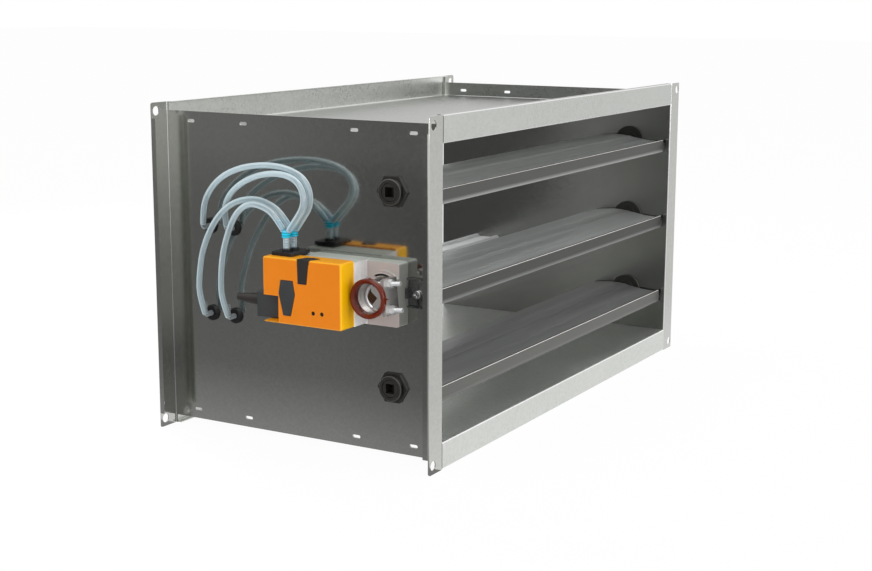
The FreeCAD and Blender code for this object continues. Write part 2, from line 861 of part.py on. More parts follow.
def hose(name, route):
    """Hose along straight runs joined by tangent arcs, each as large as its runs allow."""
    points = [outlet_point(point) for point in route]
    edges, start, radii = [], points[0], []
    for before, corner, after in zip(points, points[1:], points[2:]):
        back, ahead = (before - corner), (after - corner)
        setback = 0.45 * min(back.Length, ahead.Length)
        into = corner + V(back).normalize() * setback
        out = corner + V(ahead).normalize() * setback
        half_turn = (math.pi - back.getAngle(ahead)) / 2
        radius = setback / math.tan(half_turn)
        radii.append(round(radius, 1))
        middle = corner + ((into + out) / 2 - corner).normalize() * (
            radius / math.cos(half_turn) - radius)
        edges += [Part.LineSegment(start, into).toShape(), Part.Arc(into, middle, out).toShape()]
        start = out
    edges.append(Part.LineSegment(start, points[-1]).toShape())
    path = Part.Wire(edges)
    first = points[1] - points[0]
    section = Part.Wire(Part.makeCircle(hose_radius, points[0], first))
    tube = path.makePipeShell([section], True, False)
    ideal = math.pi * hose_radius ** 2 * path.Length
    print(name, "length", round(path.Length, 1), "radii", radii,
          "volume ratio", round(tube.Volume / ideal, 4))
    return tube


def nozzle_block():
    """Pressure connection block on the cover, with two short barbed nozzles."""
    base = near_block(block_left, block_right, block_back, block_front,
                      cover_high, cover_high + block_height)
    rounded = edges_along(base, UP, [v.Point for v in base.Vertexes])
    parts = [base.makeFillet(block_round, rounded),
             near_block(block_left - block_foot, block_right + block_foot, block_back + block_foot,
                        housing_top - seat_play, tray_high, cover_high)]
    for back, depth in (front_y, rear_y):
        foot = V(-back, -wall_face - depth, cover_high)
        parts.append(Part.makeCylinder(nozzle_collar, block_height + nozzle_collar_height,
                                       foot, UP))
        foot = V(-back, -wall_face - depth, nozzle_top)
        parts.append(barbed_stem(foot, UP, barb_radius, barb_ridge, barb_pitch, 1))
    return fuse(parts)


def hose_stub(place):
    """Short piece of hose between a nozzle and its Y connector."""
    foot = V(-place[0], -wall_face - place[1], nozzle_top)
    outer = Part.makeCylinder(stub_outer, stub_length, foot, UP)
    return outer.cut(Part.makeCylinder(stub_inner, stub_length, foot, UP))


def y_directions():
    """Unit vectors of the two upper branches of a Y connector, right and left."""
    lean, turn = math.radians(y_branch_angle), math.radians(y_turn)
    sideways = V(math.cos(turn), -math.sin(turn), 0)
    return [sideways * (side * math.sin(lean)) + UP * math.cos(lean) for side in (1, -1)]


def y_connector(place):
    """Y connector: a collar, one barbed stem down and two up."""
    centre = V(-place[0], -wall_face - place[1], stub_end)
    collar = Part.makeCylinder(y_collar, y_collar_height, centre, UP)
    rims = [edge for edge in collar.Edges if edge.Closed and len(edge.Vertexes) == 1]
    collar = collar.makeFillet(y_collar_round, rims)
    parts = [collar, barbed_stem(centre + UP, -UP, barb_radius, barb_ridge, y_stem_pitch, 3)]
    for direction in y_directions():
        root = centre + UP * (y_collar_height - y_branch_start)
        parts.append(Part.makeCylinder(barb_radius, y_branch_length, root, direction))
        for i in range(y_barb_count):
            foot = root + direction * (y_barb_first + i * y_barb_step)
            parts.append(Part.makeCone(barb_ridge, barb_radius, y_barb_length, foot, direction))
    return fuse(parts)


def hex_outline(grow):
    """Long hexagon of the adaptation button, as (x back from the outlet, z) points."""
    halves = ((hex_top_half + grow, hex_top + grow), (hex_waist_half + grow, hex_waist),
              (hex_bottom_half + grow, hex_bottom - grow))
    left = [(hex_centre + half, height) for half, height in halves]
    right = [(hex_centre - half, height) for half, height in halves]
    return left + right[::-1]


def release_outline(grow):
    """Tapered front of the gear release button, as (x back from the outlet, z) points."""
    top = cover_high + button_proud
    return [(release_left + grow, top), (release_right - grow, top),
            (release_low_right - grow, release_low - grow),
            (release_low_left + grow, release_low - grow)]


def release_wing(grow):
    """Top of the gear release button, as (x back from the outlet, depth) points."""
    return [(release_left + grow, cover_front),
            (release_left - wing_left_inset + grow, cover_front - wing_left_reach - grow),
            (release_left - wing_point_inset, cover_front - wing_reach - grow),
            (release_right - wing_right_outset - grow, cover_front - wing_right_reach - grow),
            (release_right - grow, cover_front)]


def release_shape(grow, travel):
    """Solid of the release button's visible part, or the room that it sweeps as it is pressed."""
    front = near_prism(release_outline(grow), cover_inside - release_skirt - travel,
                       cover_front + button_proud)
    low = cover_high - cover_wall - wing_thickness - grow
    points = [V(-x, -wall_face - depth, low) for x, depth in release_wing(grow)]
    wing = plane_face(points).extrude(V(0, 0, cover_high + button_proud - low))
    parts = [front, wing]
    if travel:
        pressed = V(0, travel, 0)
        parts += [face.extrude(pressed) for face in wing.Faces
                  if abs(face.normalAt(0, 0).y) > 0.01]
    return fuse(parts)


def actuator_housing():
    """Gear housing: foot on the wall, raised tray, round boss and the bore for the spindle."""
    foot = near_block(foot_left, actuator_right, housing_back, gear_face, foot_low, foot_high)
    tray_left = actuator_left - housing_inset
    tray = near_block(tray_left, actuator_step, gear_face - housing_overlap, housing_top,
                      tray_low, tray_high)
    foot = foot.makeFillet(housing_round, edges_along(
        foot, ACROSS, [V(-x, 0, z) for x in (foot_left, actuator_right)
                       for z in (foot_low, foot_high)]))
    tray = tray.makeFillet(housing_round, edges_along(
        tray, ACROSS, [V(-tray_left, 0, z) for z in (tray_low, tray_high)]))
    boss = near_rod(boss_radius, gear_face - 1, boss_front, axis_setback, 0)
    boss = boss.common(near_block(actuator_step + 1, actuator_right, 0, boss_front,
                                  foot_low, foot_high))
    seam = near_block(actuator_left, actuator_step - 1, seam_depth, seam_depth + seam_size,
                      tray_low - 1, tray_high + 1)
    core = near_block(tray_left - seam_size, actuator_step + seam_size, 0, cover_front,
                      tray_low + seam_size, tray_high - seam_size)
    pocket = prism_y(hexagon_points(nut_across_flats + 2 * pocket_play, middle_nut_turn),
                     -wall_face, -wall_face - nut_thickness - pocket_play)
    cutters = [seam.cut(core), on_axis(pocket), stop_slot(),
               near_rod(nut_boss + pocket_play, 0, pocket_depth, axis_setback, 0),
               near_rod(spindle_radius + spindle_play, 0, boss_front + 1, axis_setback, 0),
               near_block(actuator_left + 1, plug_right - plug_play, plug_back - plug_play,
                          cover_front, plug_low - plug_play, plug_high + plug_play),
               near_block(actuator_right - 1, actuator_right + tongue_reach + tongue_play,
                          tongue_depth - tongue_play, tongue_depth + bracket_sheet + tongue_play,
                          -tongue_half - tongue_play, tongue_half + tongue_play)]
    return fuse([foot, tray, boss]).cut(cutters)


def stop_slot():
    """Curved slot above the clamp in the gear face."""
    outer, inner = stop_slot_radius + stop_slot_width / 2, stop_slot_radius - stop_slot_width / 2
    y0, y1 = -wall_face - boss_front + stop_slot_depth, -wall_face - boss_front - 1
    ring = rod_y(outer, y0, y1, -axis_setback, 0).cut(rod_y(inner, y0, y1, -axis_setback, 0))
    reach = 2 * stop_slot_radius
    wedge = [(-axis_setback, 0)]
    for angle in (stop_slot_from, (stop_slot_from + stop_slot_to) / 2, stop_slot_to):
        turn = math.radians(angle)
        wedge.append((-axis_setback + reach * math.cos(turn), reach * math.sin(turn)))
    return ring.common(prism_y(wedge, y0, y1))


def actuator_cover():
    """Moulded cover over the sensor, with openings for its buttons, lenses and connector."""
    outer = near_block(actuator_left, actuator_step + 1, housing_top, cover_front,
                       cover_low, cover_high)
    sides = [V(-x, 0, z) for x in (actuator_left, actuator_step + 1)
             for z in (cover_low, cover_high)]
    outer = outer.makeFillet(cover_round, edges_along(outer, ACROSS, sides))
    face_y = -wall_face - cover_front
    rim = [edge for edge in outer.Edges
           if all(abs(vertex.Point.y - face_y) < 1e-4 for vertex in edge.Vertexes)]
    outer = outer.makeFillet(cover_round, rim)
    hollow = near_block(actuator_left - cover_wall, actuator_step + 1 + cover_wall, housing_top,
                        cover_inside, cover_low + cover_wall, cover_high - cover_wall)
    keep = near_block(actuator_left, plug_right - plug_play - notch_wall, housing_top,
                      cover_front, plug_low - plug_play - cover_wall,
                      plug_high + plug_play + cover_wall)
    notch = near_block(actuator_left + 1, plug_right - plug_play, housing_top - 1,
                       cover_front + 1, plug_low - plug_play, plug_high + plug_play)
    cover = outer.cut(hollow.cut(keep)).cut(notch)
    cutters = [near_prism(hex_outline(button_play), cover_inside - release_skirt, cover_front + 1),
               release_shape(button_play, release_travel)]
    cutters += [near_rod(lens_radius + lens_play, cover_inside - 1, cover_front + 1,
                         back, lens_height) for back in lens_places]
    return cover.cut(cutters)


def adaptation_button():
    """Hexagon button: its cap, two catches inside the cover, and a plunger."""
    cap = near_prism(hex_outline(0), cover_inside - hex_travel, cover_front + button_proud)
    cap = cap.makeFillet(button_round, edges_along(cap, ACROSS, [v.Point for v in cap.Vertexes]))
    front = cover_inside - catch_gap
    parts = [cap]
    for half, edge, out in ((hex_top_half, hex_top, 1), (hex_bottom_half, hex_bottom, -1)):
        reach = out * (button_play + catch_reach)
        parts.append(near_block(hex_centre + half, hex_centre - half, front - catch_thickness,
                                front, edge - out * catch_reach, edge + reach))
    plunger_foot = board_depth + board_thickness + hex_travel + catch_gap
    parts.append(near_rod(plunger_radius, plunger_foot, cover_inside, hex_centre, plunger_height))
    return fuse(parts)


def release_button():
    """Gear release button that wraps over the cover's edge, with a catch inside the cover."""
    inside = cover_inside - catch_gap
    catch = near_block(release_left + catch_reach, release_low_right - button_play - catch_reach,
                       inside - catch_thickness - catch_reach, inside,
                       release_low + catch_reach, release_low + catch_reach + release_catch_height)
    return fuse([release_shape(0, 0), catch])


def status_lens(back):
    """Round lens just below the cover's face."""
    lens = near_rod(lens_radius, cover_inside - lens_back, cover_front - lens_sink, back,
                    lens_height)
    head = near_rod(lens_radius + lens_rim, cover_inside - 2 * lens_back,
                    cover_inside - lens_play, back, lens_height)
    return fuse([lens, head])


def circuit_board():
    """Board under the cover, cut out for the cable connector and the release button."""
    inset = cover_wall + board_gap
    board = near_block(actuator_left - inset, actuator_step + 1 + inset, board_depth,
                       board_depth + board_thickness, cover_low + inset, cover_high - inset)
    clear = near_block(actuator_left, plug_right - 2 * cover_wall, 0, cover_front,
                       cover_low, plug_high + 2 * cover_wall)
    switch_gap = release_shape(2 * button_play, release_travel)
    return board.cut([clear, switch_gap])


def pressure_sensor():
    """Differential pressure sensor on the board, with its two ports."""
    back = board_depth + board_thickness
    front = back + sensor_thickness
    body = near_block(sensor_left, sensor_right, back, front, sensor_low, sensor_high)
    middle = (sensor_low + sensor_high) / 2
    ports = [near_rod(port_radius, back, front + port_proud, (sensor_left + sensor_right) / 2,
                      middle + side * port_spacing / 2) for side in (-1, 1)]
    return fuse([body] + ports)


def cable_connector():
    """Connector block in the notch of the cover."""
    body = near_block(plug_left, plug_right, plug_back, plug_front, plug_low, plug_high)
    return body.makeFillet(plug_round, edges_along(body, ALONG, [v.Point for v in body.Vertexes]))


def strain_relief():
    """Tapered sleeve with a collar on the connector's left, open for a cable."""
    start = V(-plug_left, -wall_face - relief_depth, relief_height)
    sleeve = Part.makeCone(relief_base, relief_tip, relief_length, start, -ALONG)
    collar = Part.makeCylinder(relief_collar_radius, relief_collar, start, -ALONG)
    bore = Part.makeCylinder(cable_bore, relief_length, start - ALONG * (relief_length / 2), -ALONG)
    return fuse([sleeve, collar]).cut(bore)


def on_axis(shape):
    """Move a piece made about the world's Y axis to the middle blade's axis."""
    shape.translate(V(-axis_setback, 0, 0))
    return shape


def on_clamp(shape):
    """Turn a clamp piece as it is fixed on its shaft, then move it to the middle axis."""
    shape.rotate(V(0, 0, 0), ACROSS, -clamp_turn)
    return on_axis(shape)


def clamp_y(depth):
    """Y of a depth off the near wall."""
    return -wall_face - depth


def drive_shaft():
    """Shaft of the middle blade: square in the journal, round through the clamp."""
    half = square_shaft / 2
    square = block(-half, half, clamp_y(journal_proud - shaft_insert), clamp_y(journal_proud + 1),
                   -half, half)
    tail = rod_y(drive_radius, clamp_y(journal_proud + 1), clamp_y(drive_end))
    rim = [tail.Edges[i] for i in rim_edges(tail, clamp_y(drive_end))]
    return on_axis(fuse([square, tail.makeChamfer(shaft_chamfer, rim)]))


def hub_block():
    """Left half of the hub, with an eight-sided socket and a channel for the U-bolt's loop."""
    disc_front = boss_front + hub_lift + hub_disc_thickness
    body = rod_y(cup_outer, clamp_y(disc_front), clamp_y(hub_face))
    rim = rod_y(cup_outer, clamp_y(hub_face), clamp_y(cup_end))
    rim = rim.cut(rod_y(cup_inner, clamp_y(hub_face), clamp_y(cup_end)))
    corner = socket_across / 2 / math.cos(math.pi / 8)
    angles = [math.pi / 8 + i * math.pi / 4 for i in range(8)]
    socket = prism_y([(corner * math.cos(angle), corner * math.sin(angle)) for angle in angles],
                     clamp_y(disc_front), clamp_y(cup_end))
    back, room = u_bolt_depth - u_bolt_radius - loop_play, u_bolt_radius + loop_play
    channel = rod_y(u_bolt_spread + room, clamp_y(back), clamp_y(cup_end), loop_start())
    channel = channel.cut(rod_y(u_bolt_spread - room, clamp_y(back), clamp_y(cup_end),
                                loop_start()))
    right = block(jaw_from - jaw_play, cup_outer + 1, clamp_y(disc_front), clamp_y(cup_end),
                  -cup_outer - 1, cup_outer + 1)
    return fuse([body, rim]).cut([socket, channel, right])


def clamp_hub():
    """Spindle in the gear housing with its disc, hub block and the upright for the U-bolt."""
    disc_back = boss_front + hub_lift
    disc_front = disc_back + hub_disc_thickness
    spindle = rod_y(spindle_radius, clamp_y(pocket_depth + hub_lift), clamp_y(disc_back))
    disc = rod_y(hub_disc, clamp_y(disc_back), clamp_y(disc_front))
    upright = block(upright_from, upright_from + upright_thickness, clamp_y(disc_front),
                    clamp_y(upright_end), -upright_half, upright_half)
    base = block(0, upright_from + upright_thickness, clamp_y(disc_back), clamp_y(disc_front),
                 -upright_half, upright_half)
    hub = fuse([spindle, disc, hub_block(), upright, base])
    holes = [rod_y(spindle_bore, clamp_y(0), clamp_y(disc_front))]
    for side in (-1, 1):
        foot = V(0, clamp_y(u_bolt_depth), side * u_bolt_spread)
        holes.append(Part.makeCylinder(u_bolt_radius + u_bolt_play, 2 * cup_outer, foot, ALONG))
    return on_clamp(hub.cut(holes))


def loop_start():
    """X of the centre of the U-bolt's round end, so that the loop bears on the shaft."""
    return u_bolt_spread - u_bolt_radius - drive_radius


def u_bolt():
    """U-bolt around the drive shaft, with its legs through the upright."""
    y = clamp_y(u_bolt_depth)
    x = loop_start()
    section = Part.Face(Part.Wire(Part.makeCircle(u_bolt_radius, V(x, y, u_bolt_spread), ALONG)))
    loop = section.revolve(V(x, y, 0), ACROSS, -180)
    legs = [Part.makeCylinder(u_bolt_radius, u_bolt_reach - x, V(x, y, side * u_bolt_spread),
                              ALONG) for side in (-1, 1)]
    return on_clamp(fuse([loop] + legs))


def clamp_nuts():
    """Two nuts on the U-bolt's legs."""
    nuts = []
    x = upright_from + upright_thickness
    for side in (-1, 1):
        centre = V(x, clamp_y(u_bolt_depth), side * u_bolt_spread)
        points = []
        for i in range(6):
            angle = math.radians(60 * i + 30)
            points.append(centre + V(0, clamp_nut * math.cos(angle), clamp_nut * math.sin(angle)))
        nut = plane_face(points).extrude(ALONG * clamp_nut_thickness)
        bore = Part.makeCylinder(u_bolt_radius + u_bolt_play / 5, 2 * clamp_nut_thickness,
                                 centre - ALONG, ALONG)
        nuts.append(nut.cut(bore))
    return on_clamp(Part.makeCompound(nuts))


def clamp_jaw():
    """V-shaped jaw with teeth, between the shaft and the upright."""
    apex = drive_radius * math.sqrt(2)
    body = block(jaw_from, upright_from, clamp_y(jaw_back), clamp_y(jaw_front),
                 -jaw_half, jaw_half)
    open_half = apex - jaw_from
    vee = [(jaw_from - 1, open_half + 1), (jaw_from - 1, -open_half - 1), (apex, 0)]
    cutters = [prism_y(vee, clamp_y(jaw_back - 1), clamp_y(jaw_front + 1))]
    step = (jaw_front - jaw_back) / jaw_teeth
    for i in range(1, jaw_teeth):
        level = clamp_y(jaw_back + i * step)
        deeper = [(jaw_from - 1, open_half + 1 + jaw_tooth),
                  (jaw_from - 1, -open_half - 1 - jaw_tooth), (apex + jaw_tooth, 0)]
        cutters.append(prism_y(deeper, level - jaw_tooth, level + jaw_tooth))
    return on_clamp(body.cut(cutters))


def position_ring():
    """Position ring on the hub's rim, cut back over the upright, with its pointer."""
    back, front = clamp_y(cup_end), clamp_y(cup_end + ring_thickness)
    ring = rod_y(ring_outer, back, front)
    ring = ring.makeFillet(ring_round, [ring.Edges[i] for i in rim_edges(ring, front)])
    bore = rod_y(ring_inner, back, front)
    mouth = Part.makeCone(ring_inner + ring_round, ring_inner, ring_round, V(0, front, 0), ACROSS)
    over = block(jaw_from - jaw_play, ring_outer + 1, back, clamp_y(upright_end + jaw_play),
                 -ring_outer, ring_outer)
    middle = clamp_y(cup_end + ring_thickness - ring_round) - pointer_thickness / 2
    low = ring_outer - ring_round
    pointer = plane_face([V(low, middle, pointer_width / 2), V(ring_outer + pointer_reach, middle, 0),
                          V(low, middle, -pointer_width / 2)]).extrude(V(0, pointer_thickness, 0))
    return on_clamp(fuse([ring.cut([bore, mouth, over]), pointer]))


def torque_bracket():
    """Bracket on the wall whose tongue enters the end of the housing."""
    plate = near_block(bracket_left, bracket_right, 0, bracket_sheet, bracket_low, bracket_high)
    ribs = [near_block(bracket_left, bracket_right, 0, bracket_rib, edge, edge + turned)
            for edge, turned in ((bracket_low, bracket_sheet), (bracket_high, -bracket_sheet))]
    riser = near_block(bracket_left, bracket_left - bracket_sheet, 0,
                       tongue_depth + bracket_sheet, -tongue_half, tongue_half)
    tongue = near_block(actuator_right + tongue_reach, bracket_left, tongue_depth,
                        tongue_depth + bracket_sheet, -tongue_half, tongue_half)
    hole = near_rod(bracket_screw + screw_play, -1, bracket_sheet + 1,
                    bracket_screw_back, bracket_screw_height)
    return fuse([plate, riser, tongue] + ribs).cut(hole)


def torque_screw():
    """Screw that holds the torque bracket to the wall."""
    x, z = bracket_screw_back, bracket_screw_height
    face = bracket_sheet + screw_head_thickness
    head = near_rod(bracket_screw_head, bracket_sheet, face, x, z)
    rims = [head.Edges[i] for i in rim_edges(head, clamp_y(face))]
    head = head.makeFillet(screw_head_round, rims)
    shank = near_rod(bracket_screw, -bracket_screw_reach, bracket_sheet, x, z)
    return fuse([head, shank]).cut(screw_recess(clamp_y(face), 1, -x, z))


def at_blades(shape):
    """Copies of a piece made about the world's Y axis, one on each blade's axis."""
    copies = []
    for z in blade_heights:
        moved = shape.copy()
        moved.translate(V(-axis_setback, 0, z))
        copies.append(moved)
    return copies


os.makedirs("parts", exist_ok=True)

save("near_side_wall", near_side_wall())
save("far_side_wall", far_side_wall())
panel = top_panel()
save("top_panel", panel)
save("bottom_panel", mirror_height(panel))

far_journal = journal()
both_journals = Part.makeCompound([far_journal, mirror_across(far_journal)])
moving = {"blade": blade(), "blade_seal": blade_seal(), "blade_journals": both_journals,
          "link_shaft": link_shaft(), "crank": crank(), "crank_screw": crank_screw()}
for piece, shape in moving.items():
    for place, copy in zip(blade_names, at_blades(shape)):
        save(place + "_" + piece, copy)

flange = bearing_flange()
save("far_bearing_flanges", Part.makeCompound(at_blades(flange)))
save("near_bearing_flanges", Part.makeCompound(at_blades(mirror_across(flange))))
far_nuts = at_blades(bearing_nut())
near_nuts = [mirror_across(nut) for nut in far_nuts]
near_nuts[1] = on_axis(mirror_across(bearing_nut(middle_nut_turn)))
save("far_bearing_nuts", Part.makeCompound(far_nuts))
save("near_bearing_nuts", Part.makeCompound(near_nuts))

save("tie_bar", tie_bar())
pin_heights = [z + pin_offset.z for z in blade_heights]
save("link_pins", Part.makeCompound([link_pin(z) for z in pin_heights]))
save("link_pin_clips", Part.makeCompound([link_clip(z) for z in pin_heights]))

save("upper_measuring_bar", measuring_bar(bar_upper))
save("lower_measuring_bar", measuring_bar(bar_lower))
save("measuring_bar_screws", Part.makeCompound([bar_screw(*place) for place in tap_places()]))
save("tap_grommets", Part.makeCompound([tap_grommet(*place) for place in tap_places()]))
save("tap_elbows", Part.makeCompound([tap_elbow(*place) for place in tap_places()]))

routes = {"rear_upper_hose": rear_upper_route, "front_upper_hose": front_upper_route,
          "rear_lower_hose": rear_lower_route, "front_lower_hose": front_lower_route}
for name, route in routes.items():
    save(name, hose(name, route))
save("nozzle_block", nozzle_block())
save("hose_stubs", Part.makeCompound([hose_stub(front_y), hose_stub(rear_y)]))
save("front_y_connector", y_connector(front_y))
save("rear_y_connector", y_connector(rear_y))

save("actuator_housing", actuator_housing())
save("actuator_cover", actuator_cover())
save("adaptation_button", adaptation_button())
save("gear_release_button", release_button())
save("status_lenses", Part.makeCompound([status_lens(back) for back in lens_places]))
save("circuit_board", circuit_board())
save("pressure_sensor", pressure_sensor())
save("cable_connector", cable_connector())
save("strain_relief", strain_relief())

save("drive_shaft", drive_shaft())
save("clamp_hub", clamp_hub())
save("clamp_u_bolt", u_bolt())
save("clamp_nuts", clamp_nuts())
save("clamp_jaw", clamp_jaw())
save("position_ring", position_ring())
save("torque_bracket", torque_bracket())
save("torque_bracket_screw", torque_screw())
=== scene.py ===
"""Finishes, hoses and fine pieces of a variable air volume box, laid out as a Blender add-on."""
import math

import bpy
from bpy.props import FloatProperty, FloatVectorProperty, PointerProperty
from mathutils import Matrix, Vector


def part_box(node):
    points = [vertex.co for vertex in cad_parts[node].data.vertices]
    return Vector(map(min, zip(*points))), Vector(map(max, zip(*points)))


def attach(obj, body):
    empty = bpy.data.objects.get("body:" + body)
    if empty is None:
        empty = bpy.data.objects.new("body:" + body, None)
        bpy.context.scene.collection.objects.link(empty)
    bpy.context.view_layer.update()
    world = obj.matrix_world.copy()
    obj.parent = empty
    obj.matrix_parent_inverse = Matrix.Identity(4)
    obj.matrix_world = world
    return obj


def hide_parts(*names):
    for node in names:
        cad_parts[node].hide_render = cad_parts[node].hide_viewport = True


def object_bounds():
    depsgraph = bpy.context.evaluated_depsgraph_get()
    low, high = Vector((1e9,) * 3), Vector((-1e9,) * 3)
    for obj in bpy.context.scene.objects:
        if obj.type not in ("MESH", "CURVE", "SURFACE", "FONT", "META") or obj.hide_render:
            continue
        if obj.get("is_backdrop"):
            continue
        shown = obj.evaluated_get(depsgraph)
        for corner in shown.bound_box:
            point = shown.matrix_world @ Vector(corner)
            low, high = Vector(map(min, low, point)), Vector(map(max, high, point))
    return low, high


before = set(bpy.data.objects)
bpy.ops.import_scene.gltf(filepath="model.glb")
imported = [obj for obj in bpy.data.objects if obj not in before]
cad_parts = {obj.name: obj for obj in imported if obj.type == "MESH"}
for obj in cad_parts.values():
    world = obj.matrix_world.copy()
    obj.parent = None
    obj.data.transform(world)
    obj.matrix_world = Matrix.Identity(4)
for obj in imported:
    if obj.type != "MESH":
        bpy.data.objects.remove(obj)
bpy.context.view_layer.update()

bl_info = {
    "name": "Variable air volume box",
    "version": (1, 0, 0),
    "blender": (4, 5, 0),
    "location": "View3D > Sidebar > Air box",
    "description": "Dresses the duct section: sheet metal, blades, hoses, actuator and shaft clamp",
    "category": "Object",
}

# Places and sizes that the CAD has too: X is minus the distance behind the outlet face, and Y
# and Z are off the middle of the duct
WALL_FACE = 0.301  # outside of the near wall
BLADE_AXIS = 0.0566  # axis of the blades and of the shaft clamp, behind the outlet face
BOSS_FRONT = 0.021  # front of the gear housing's boss, off the near wall
BOLT_DEPTH = 0.036  # plane of the U-bolt, off the near wall
CLAMP_TURN = 5.0  # lean of the clamp at rest, in degrees
LEG_SPREAD = 0.013  # from the clamp's axis to each leg of the U-bolt
LEG_RADIUS = 0.0022
THREAD_START, THREAD_END = 0.0226, 0.0314  # threaded part of a leg, from the blade axis
GROMMET_RADIUS = 0.008

# Fine pieces
RIB_COUNT = 26  # round each grommet
RIB_RADIUS = 0.0005
RIB_LENGTH = 0.0022
RIB_DEPTH = 0.0014  # middle of the ribs, behind the grommets' front
SLOT_RADIUS = 0.0195  # middle of the arc of the stop slot, round the blade axis
SLOT_WIDTH = 0.0032
SLOT_ANGLES = range(62, 119, 4)  # points of the slot's rim, in degrees
SLOT_RIM_RADIUS = 0.0005  # bead that runs round the slot
SLOT_SHADOW_ANGLES = range(64, 117, 4)
SLOT_SHADOW_RADIUS = 0.00115  # dark bead inside it: a painted shadow in the slot
SLOT_SHADOW_DEPTH = 0.0014
STRIP_THICKNESS = 0.0015  # front strip of a blade
SEAL_PROUD = 0.0004  # seal above the strip's edge
EDGE_RADIUS = 0.00075  # pale bead along a strip's top edge: a painted highlight
EDGE_DROP = 0.0003  # middle of that edge, below the strip's top
CREST_SHARE = 0.4  # height of the thread's ridge, as a share of its pitch
ROUTE_STEPS = 12  # steps from one point of a hose's route to the next
TUBE_SIDES, RIB_SIDES, RIDGE_SIDES = 24, 8, 4
THREAD_STEPS = 18  # round one turn of the thread

# Where a zone of a finish lies: source, axis, value where it starts and value where it is full
TO_OUTLET = ("Normal", 0, 0.3, 0.8)  # faces turned towards the outlet
TO_NEAR = ("Normal", 1, -0.4, -0.9)  # towards the actuator's side
TO_FAR = ("Normal", 1, 0.4, 0.9)  # towards the linkage's side
UPWARD = ("Normal", 2, 0.3, 0.8)
WALL_FOOT = ("Object", 2, -0.10, -0.18)  # lower part of the walls, made lighter: painted light from the floor
INLET_STRIP = ("Object", 0, -0.308, -0.318)  # near wall, beside its inlet flange, made lighter: painted light
INLET_UPSTAND = ("Object", 0, -0.330, -0.338)  # top panel's flange at the inlet, made lighter: painted light
HOUSING_NECK = ("Object", 0, -0.0762, -0.0768)  # gear housing, between clamp and cover
CONNECTOR_STEMS = ("Object", 2, 0.0520, 0.0512)  # below the Y connectors' collars
CONNECTOR_ARMS = ("Object", 2, 0.0572, 0.0582)  # above them
STRIP_FADE = 0.001  # from a blade's skin to its front strip
NOZZLE_FADE = 0.0004  # from the nozzle block to its nozzles
CLAMP_DEPTH = 0.006  # behind the clamp's front, where its painted shade starts

# Effects
TONE_RANGE = (0.3, 0.7)  # values of an effect's tone that are darkest and lightest
RELIEF_DEPTH = 0.0001  # height that a full bump stands for
CLOUD_SCALE = 160.0  # cloudiness of clear plastic
CLOUD_SHARE, CLOUD_BUMP, CLOUD_ROUGHNESS = 0.03, 0.05, 0.08
# Clear plastic from where it faces you to its edge: how far, and the share of its tint there. These
# shares paint its light and shade: a darker band, a bright band as its highlight and a dark
# outline.
CLEAR_SHADES = ((0.0, 0.9), (0.28, 0.6), (0.45, 1.0), (0.84, 1.0), (1.0, 0.4))
SKIN_SCALE = 2600.0  # moulded skin
GRAIN_SCALE = 900.0  # drawn grain

# Stage, and the camera of the photograph
FLOOR_GAP = 0.0005  # below the part
FLOOR_REACH = 14.0
FLOOR_GLOW = 0.96  # share of plain white where the floor is seen
CARD_GAP = 0.0003  # from the floor up to the cards
CAMERA_PLACE = (0.71776, -1.56391, 0.29349)
CAMERA_ANGLES = (29.87, 11.01, 0.17)  # azimuth, elevation and roll, in degrees
SENSOR_WIDTH = 36.0
LENS = 62.22

# Hose routes: distance behind the outlet face, distance off the near wall, and height
ROUTES = {
    "rear_upper_hose": [(0.1515, 0.0327, 0.0585), (0.141, 0.035, 0.071), (0.1315, 0.0375, 0.0825),
                        (0.129, 0.039, 0.095), (0.1335, 0.0385, 0.107), (0.1445, 0.037, 0.1155),
                        (0.165, 0.034, 0.121), (0.192, 0.0305, 0.1215), (0.222, 0.027, 0.117),
                        (0.250, 0.023, 0.1065), (0.271, 0.0185, 0.090), (0.2835, 0.015, 0.071),
                        (0.2855, 0.013, 0.051)],
    "front_upper_hose": [(0.1524, 0.0440, 0.0585), (0.142, 0.046, 0.071), (0.1325, 0.0475, 0.083),
                         (0.131, 0.0475, 0.0955), (0.1375, 0.0455, 0.1065), (0.150, 0.0425, 0.113),
                         (0.170, 0.0385, 0.115), (0.195, 0.033, 0.1115), (0.221, 0.028, 0.102),
                         (0.243, 0.022, 0.087), (0.255, 0.0165, 0.069), (0.2545, 0.013, 0.051)],
    "rear_lower_hose": [(0.1581, 0.0321, 0.0585), (0.168, 0.031, 0.070), (0.181, 0.0295, 0.080),
                        (0.2055, 0.029, 0.087), (0.236, 0.028, 0.0795), (0.260, 0.026, 0.059),
                        (0.279, 0.023, 0.027), (0.2875, 0.019, -0.002), (0.291, 0.016, -0.026),
                        (0.2855, 0.013, -0.0465)],
    "front_lower_hose": [(0.1590, 0.0434, 0.0585), (0.169, 0.0415, 0.0695), (0.1815, 0.0385, 0.078),
                         (0.205, 0.037, 0.083), (0.2245, 0.034, 0.0715), (0.2385, 0.0295, 0.052),
                         (0.2515, 0.0245, 0.0245), (0.258, 0.020, -0.0025), (0.261, 0.016, -0.0275),
                         (0.2545, 0.013, -0.0465)],
}


def colour(red, green, blue):
    """Linear colour from the 0 to 255 levels it has on a screen."""
    levels = [level / 255 for level in (red, green, blue)]
    return tuple(level / 12.92 if level < 0.04045 else ((level + 0.055) / 1.055) ** 2.4
                 for level in levels)


class CasingSettings(bpy.types.PropertyGroup):
    """Sheet metal of the casing."""
    wall_colour: FloatVectorProperty(name="Wall colour", description="Zinc of the side walls",
                                     subtype="COLOR", size=3, default=colour(178, 179, 175))
    panel_colour: FloatVectorProperty(name="Panel colour", description="Zinc of the top and bottom",
                                      subtype="COLOR", size=3, default=colour(186, 188, 184))
    crystal_size: FloatProperty(name="Crystal size", description="Size of the zinc's crystals",
                                unit="LENGTH", default=0.0026, min=0.001, max=0.05)


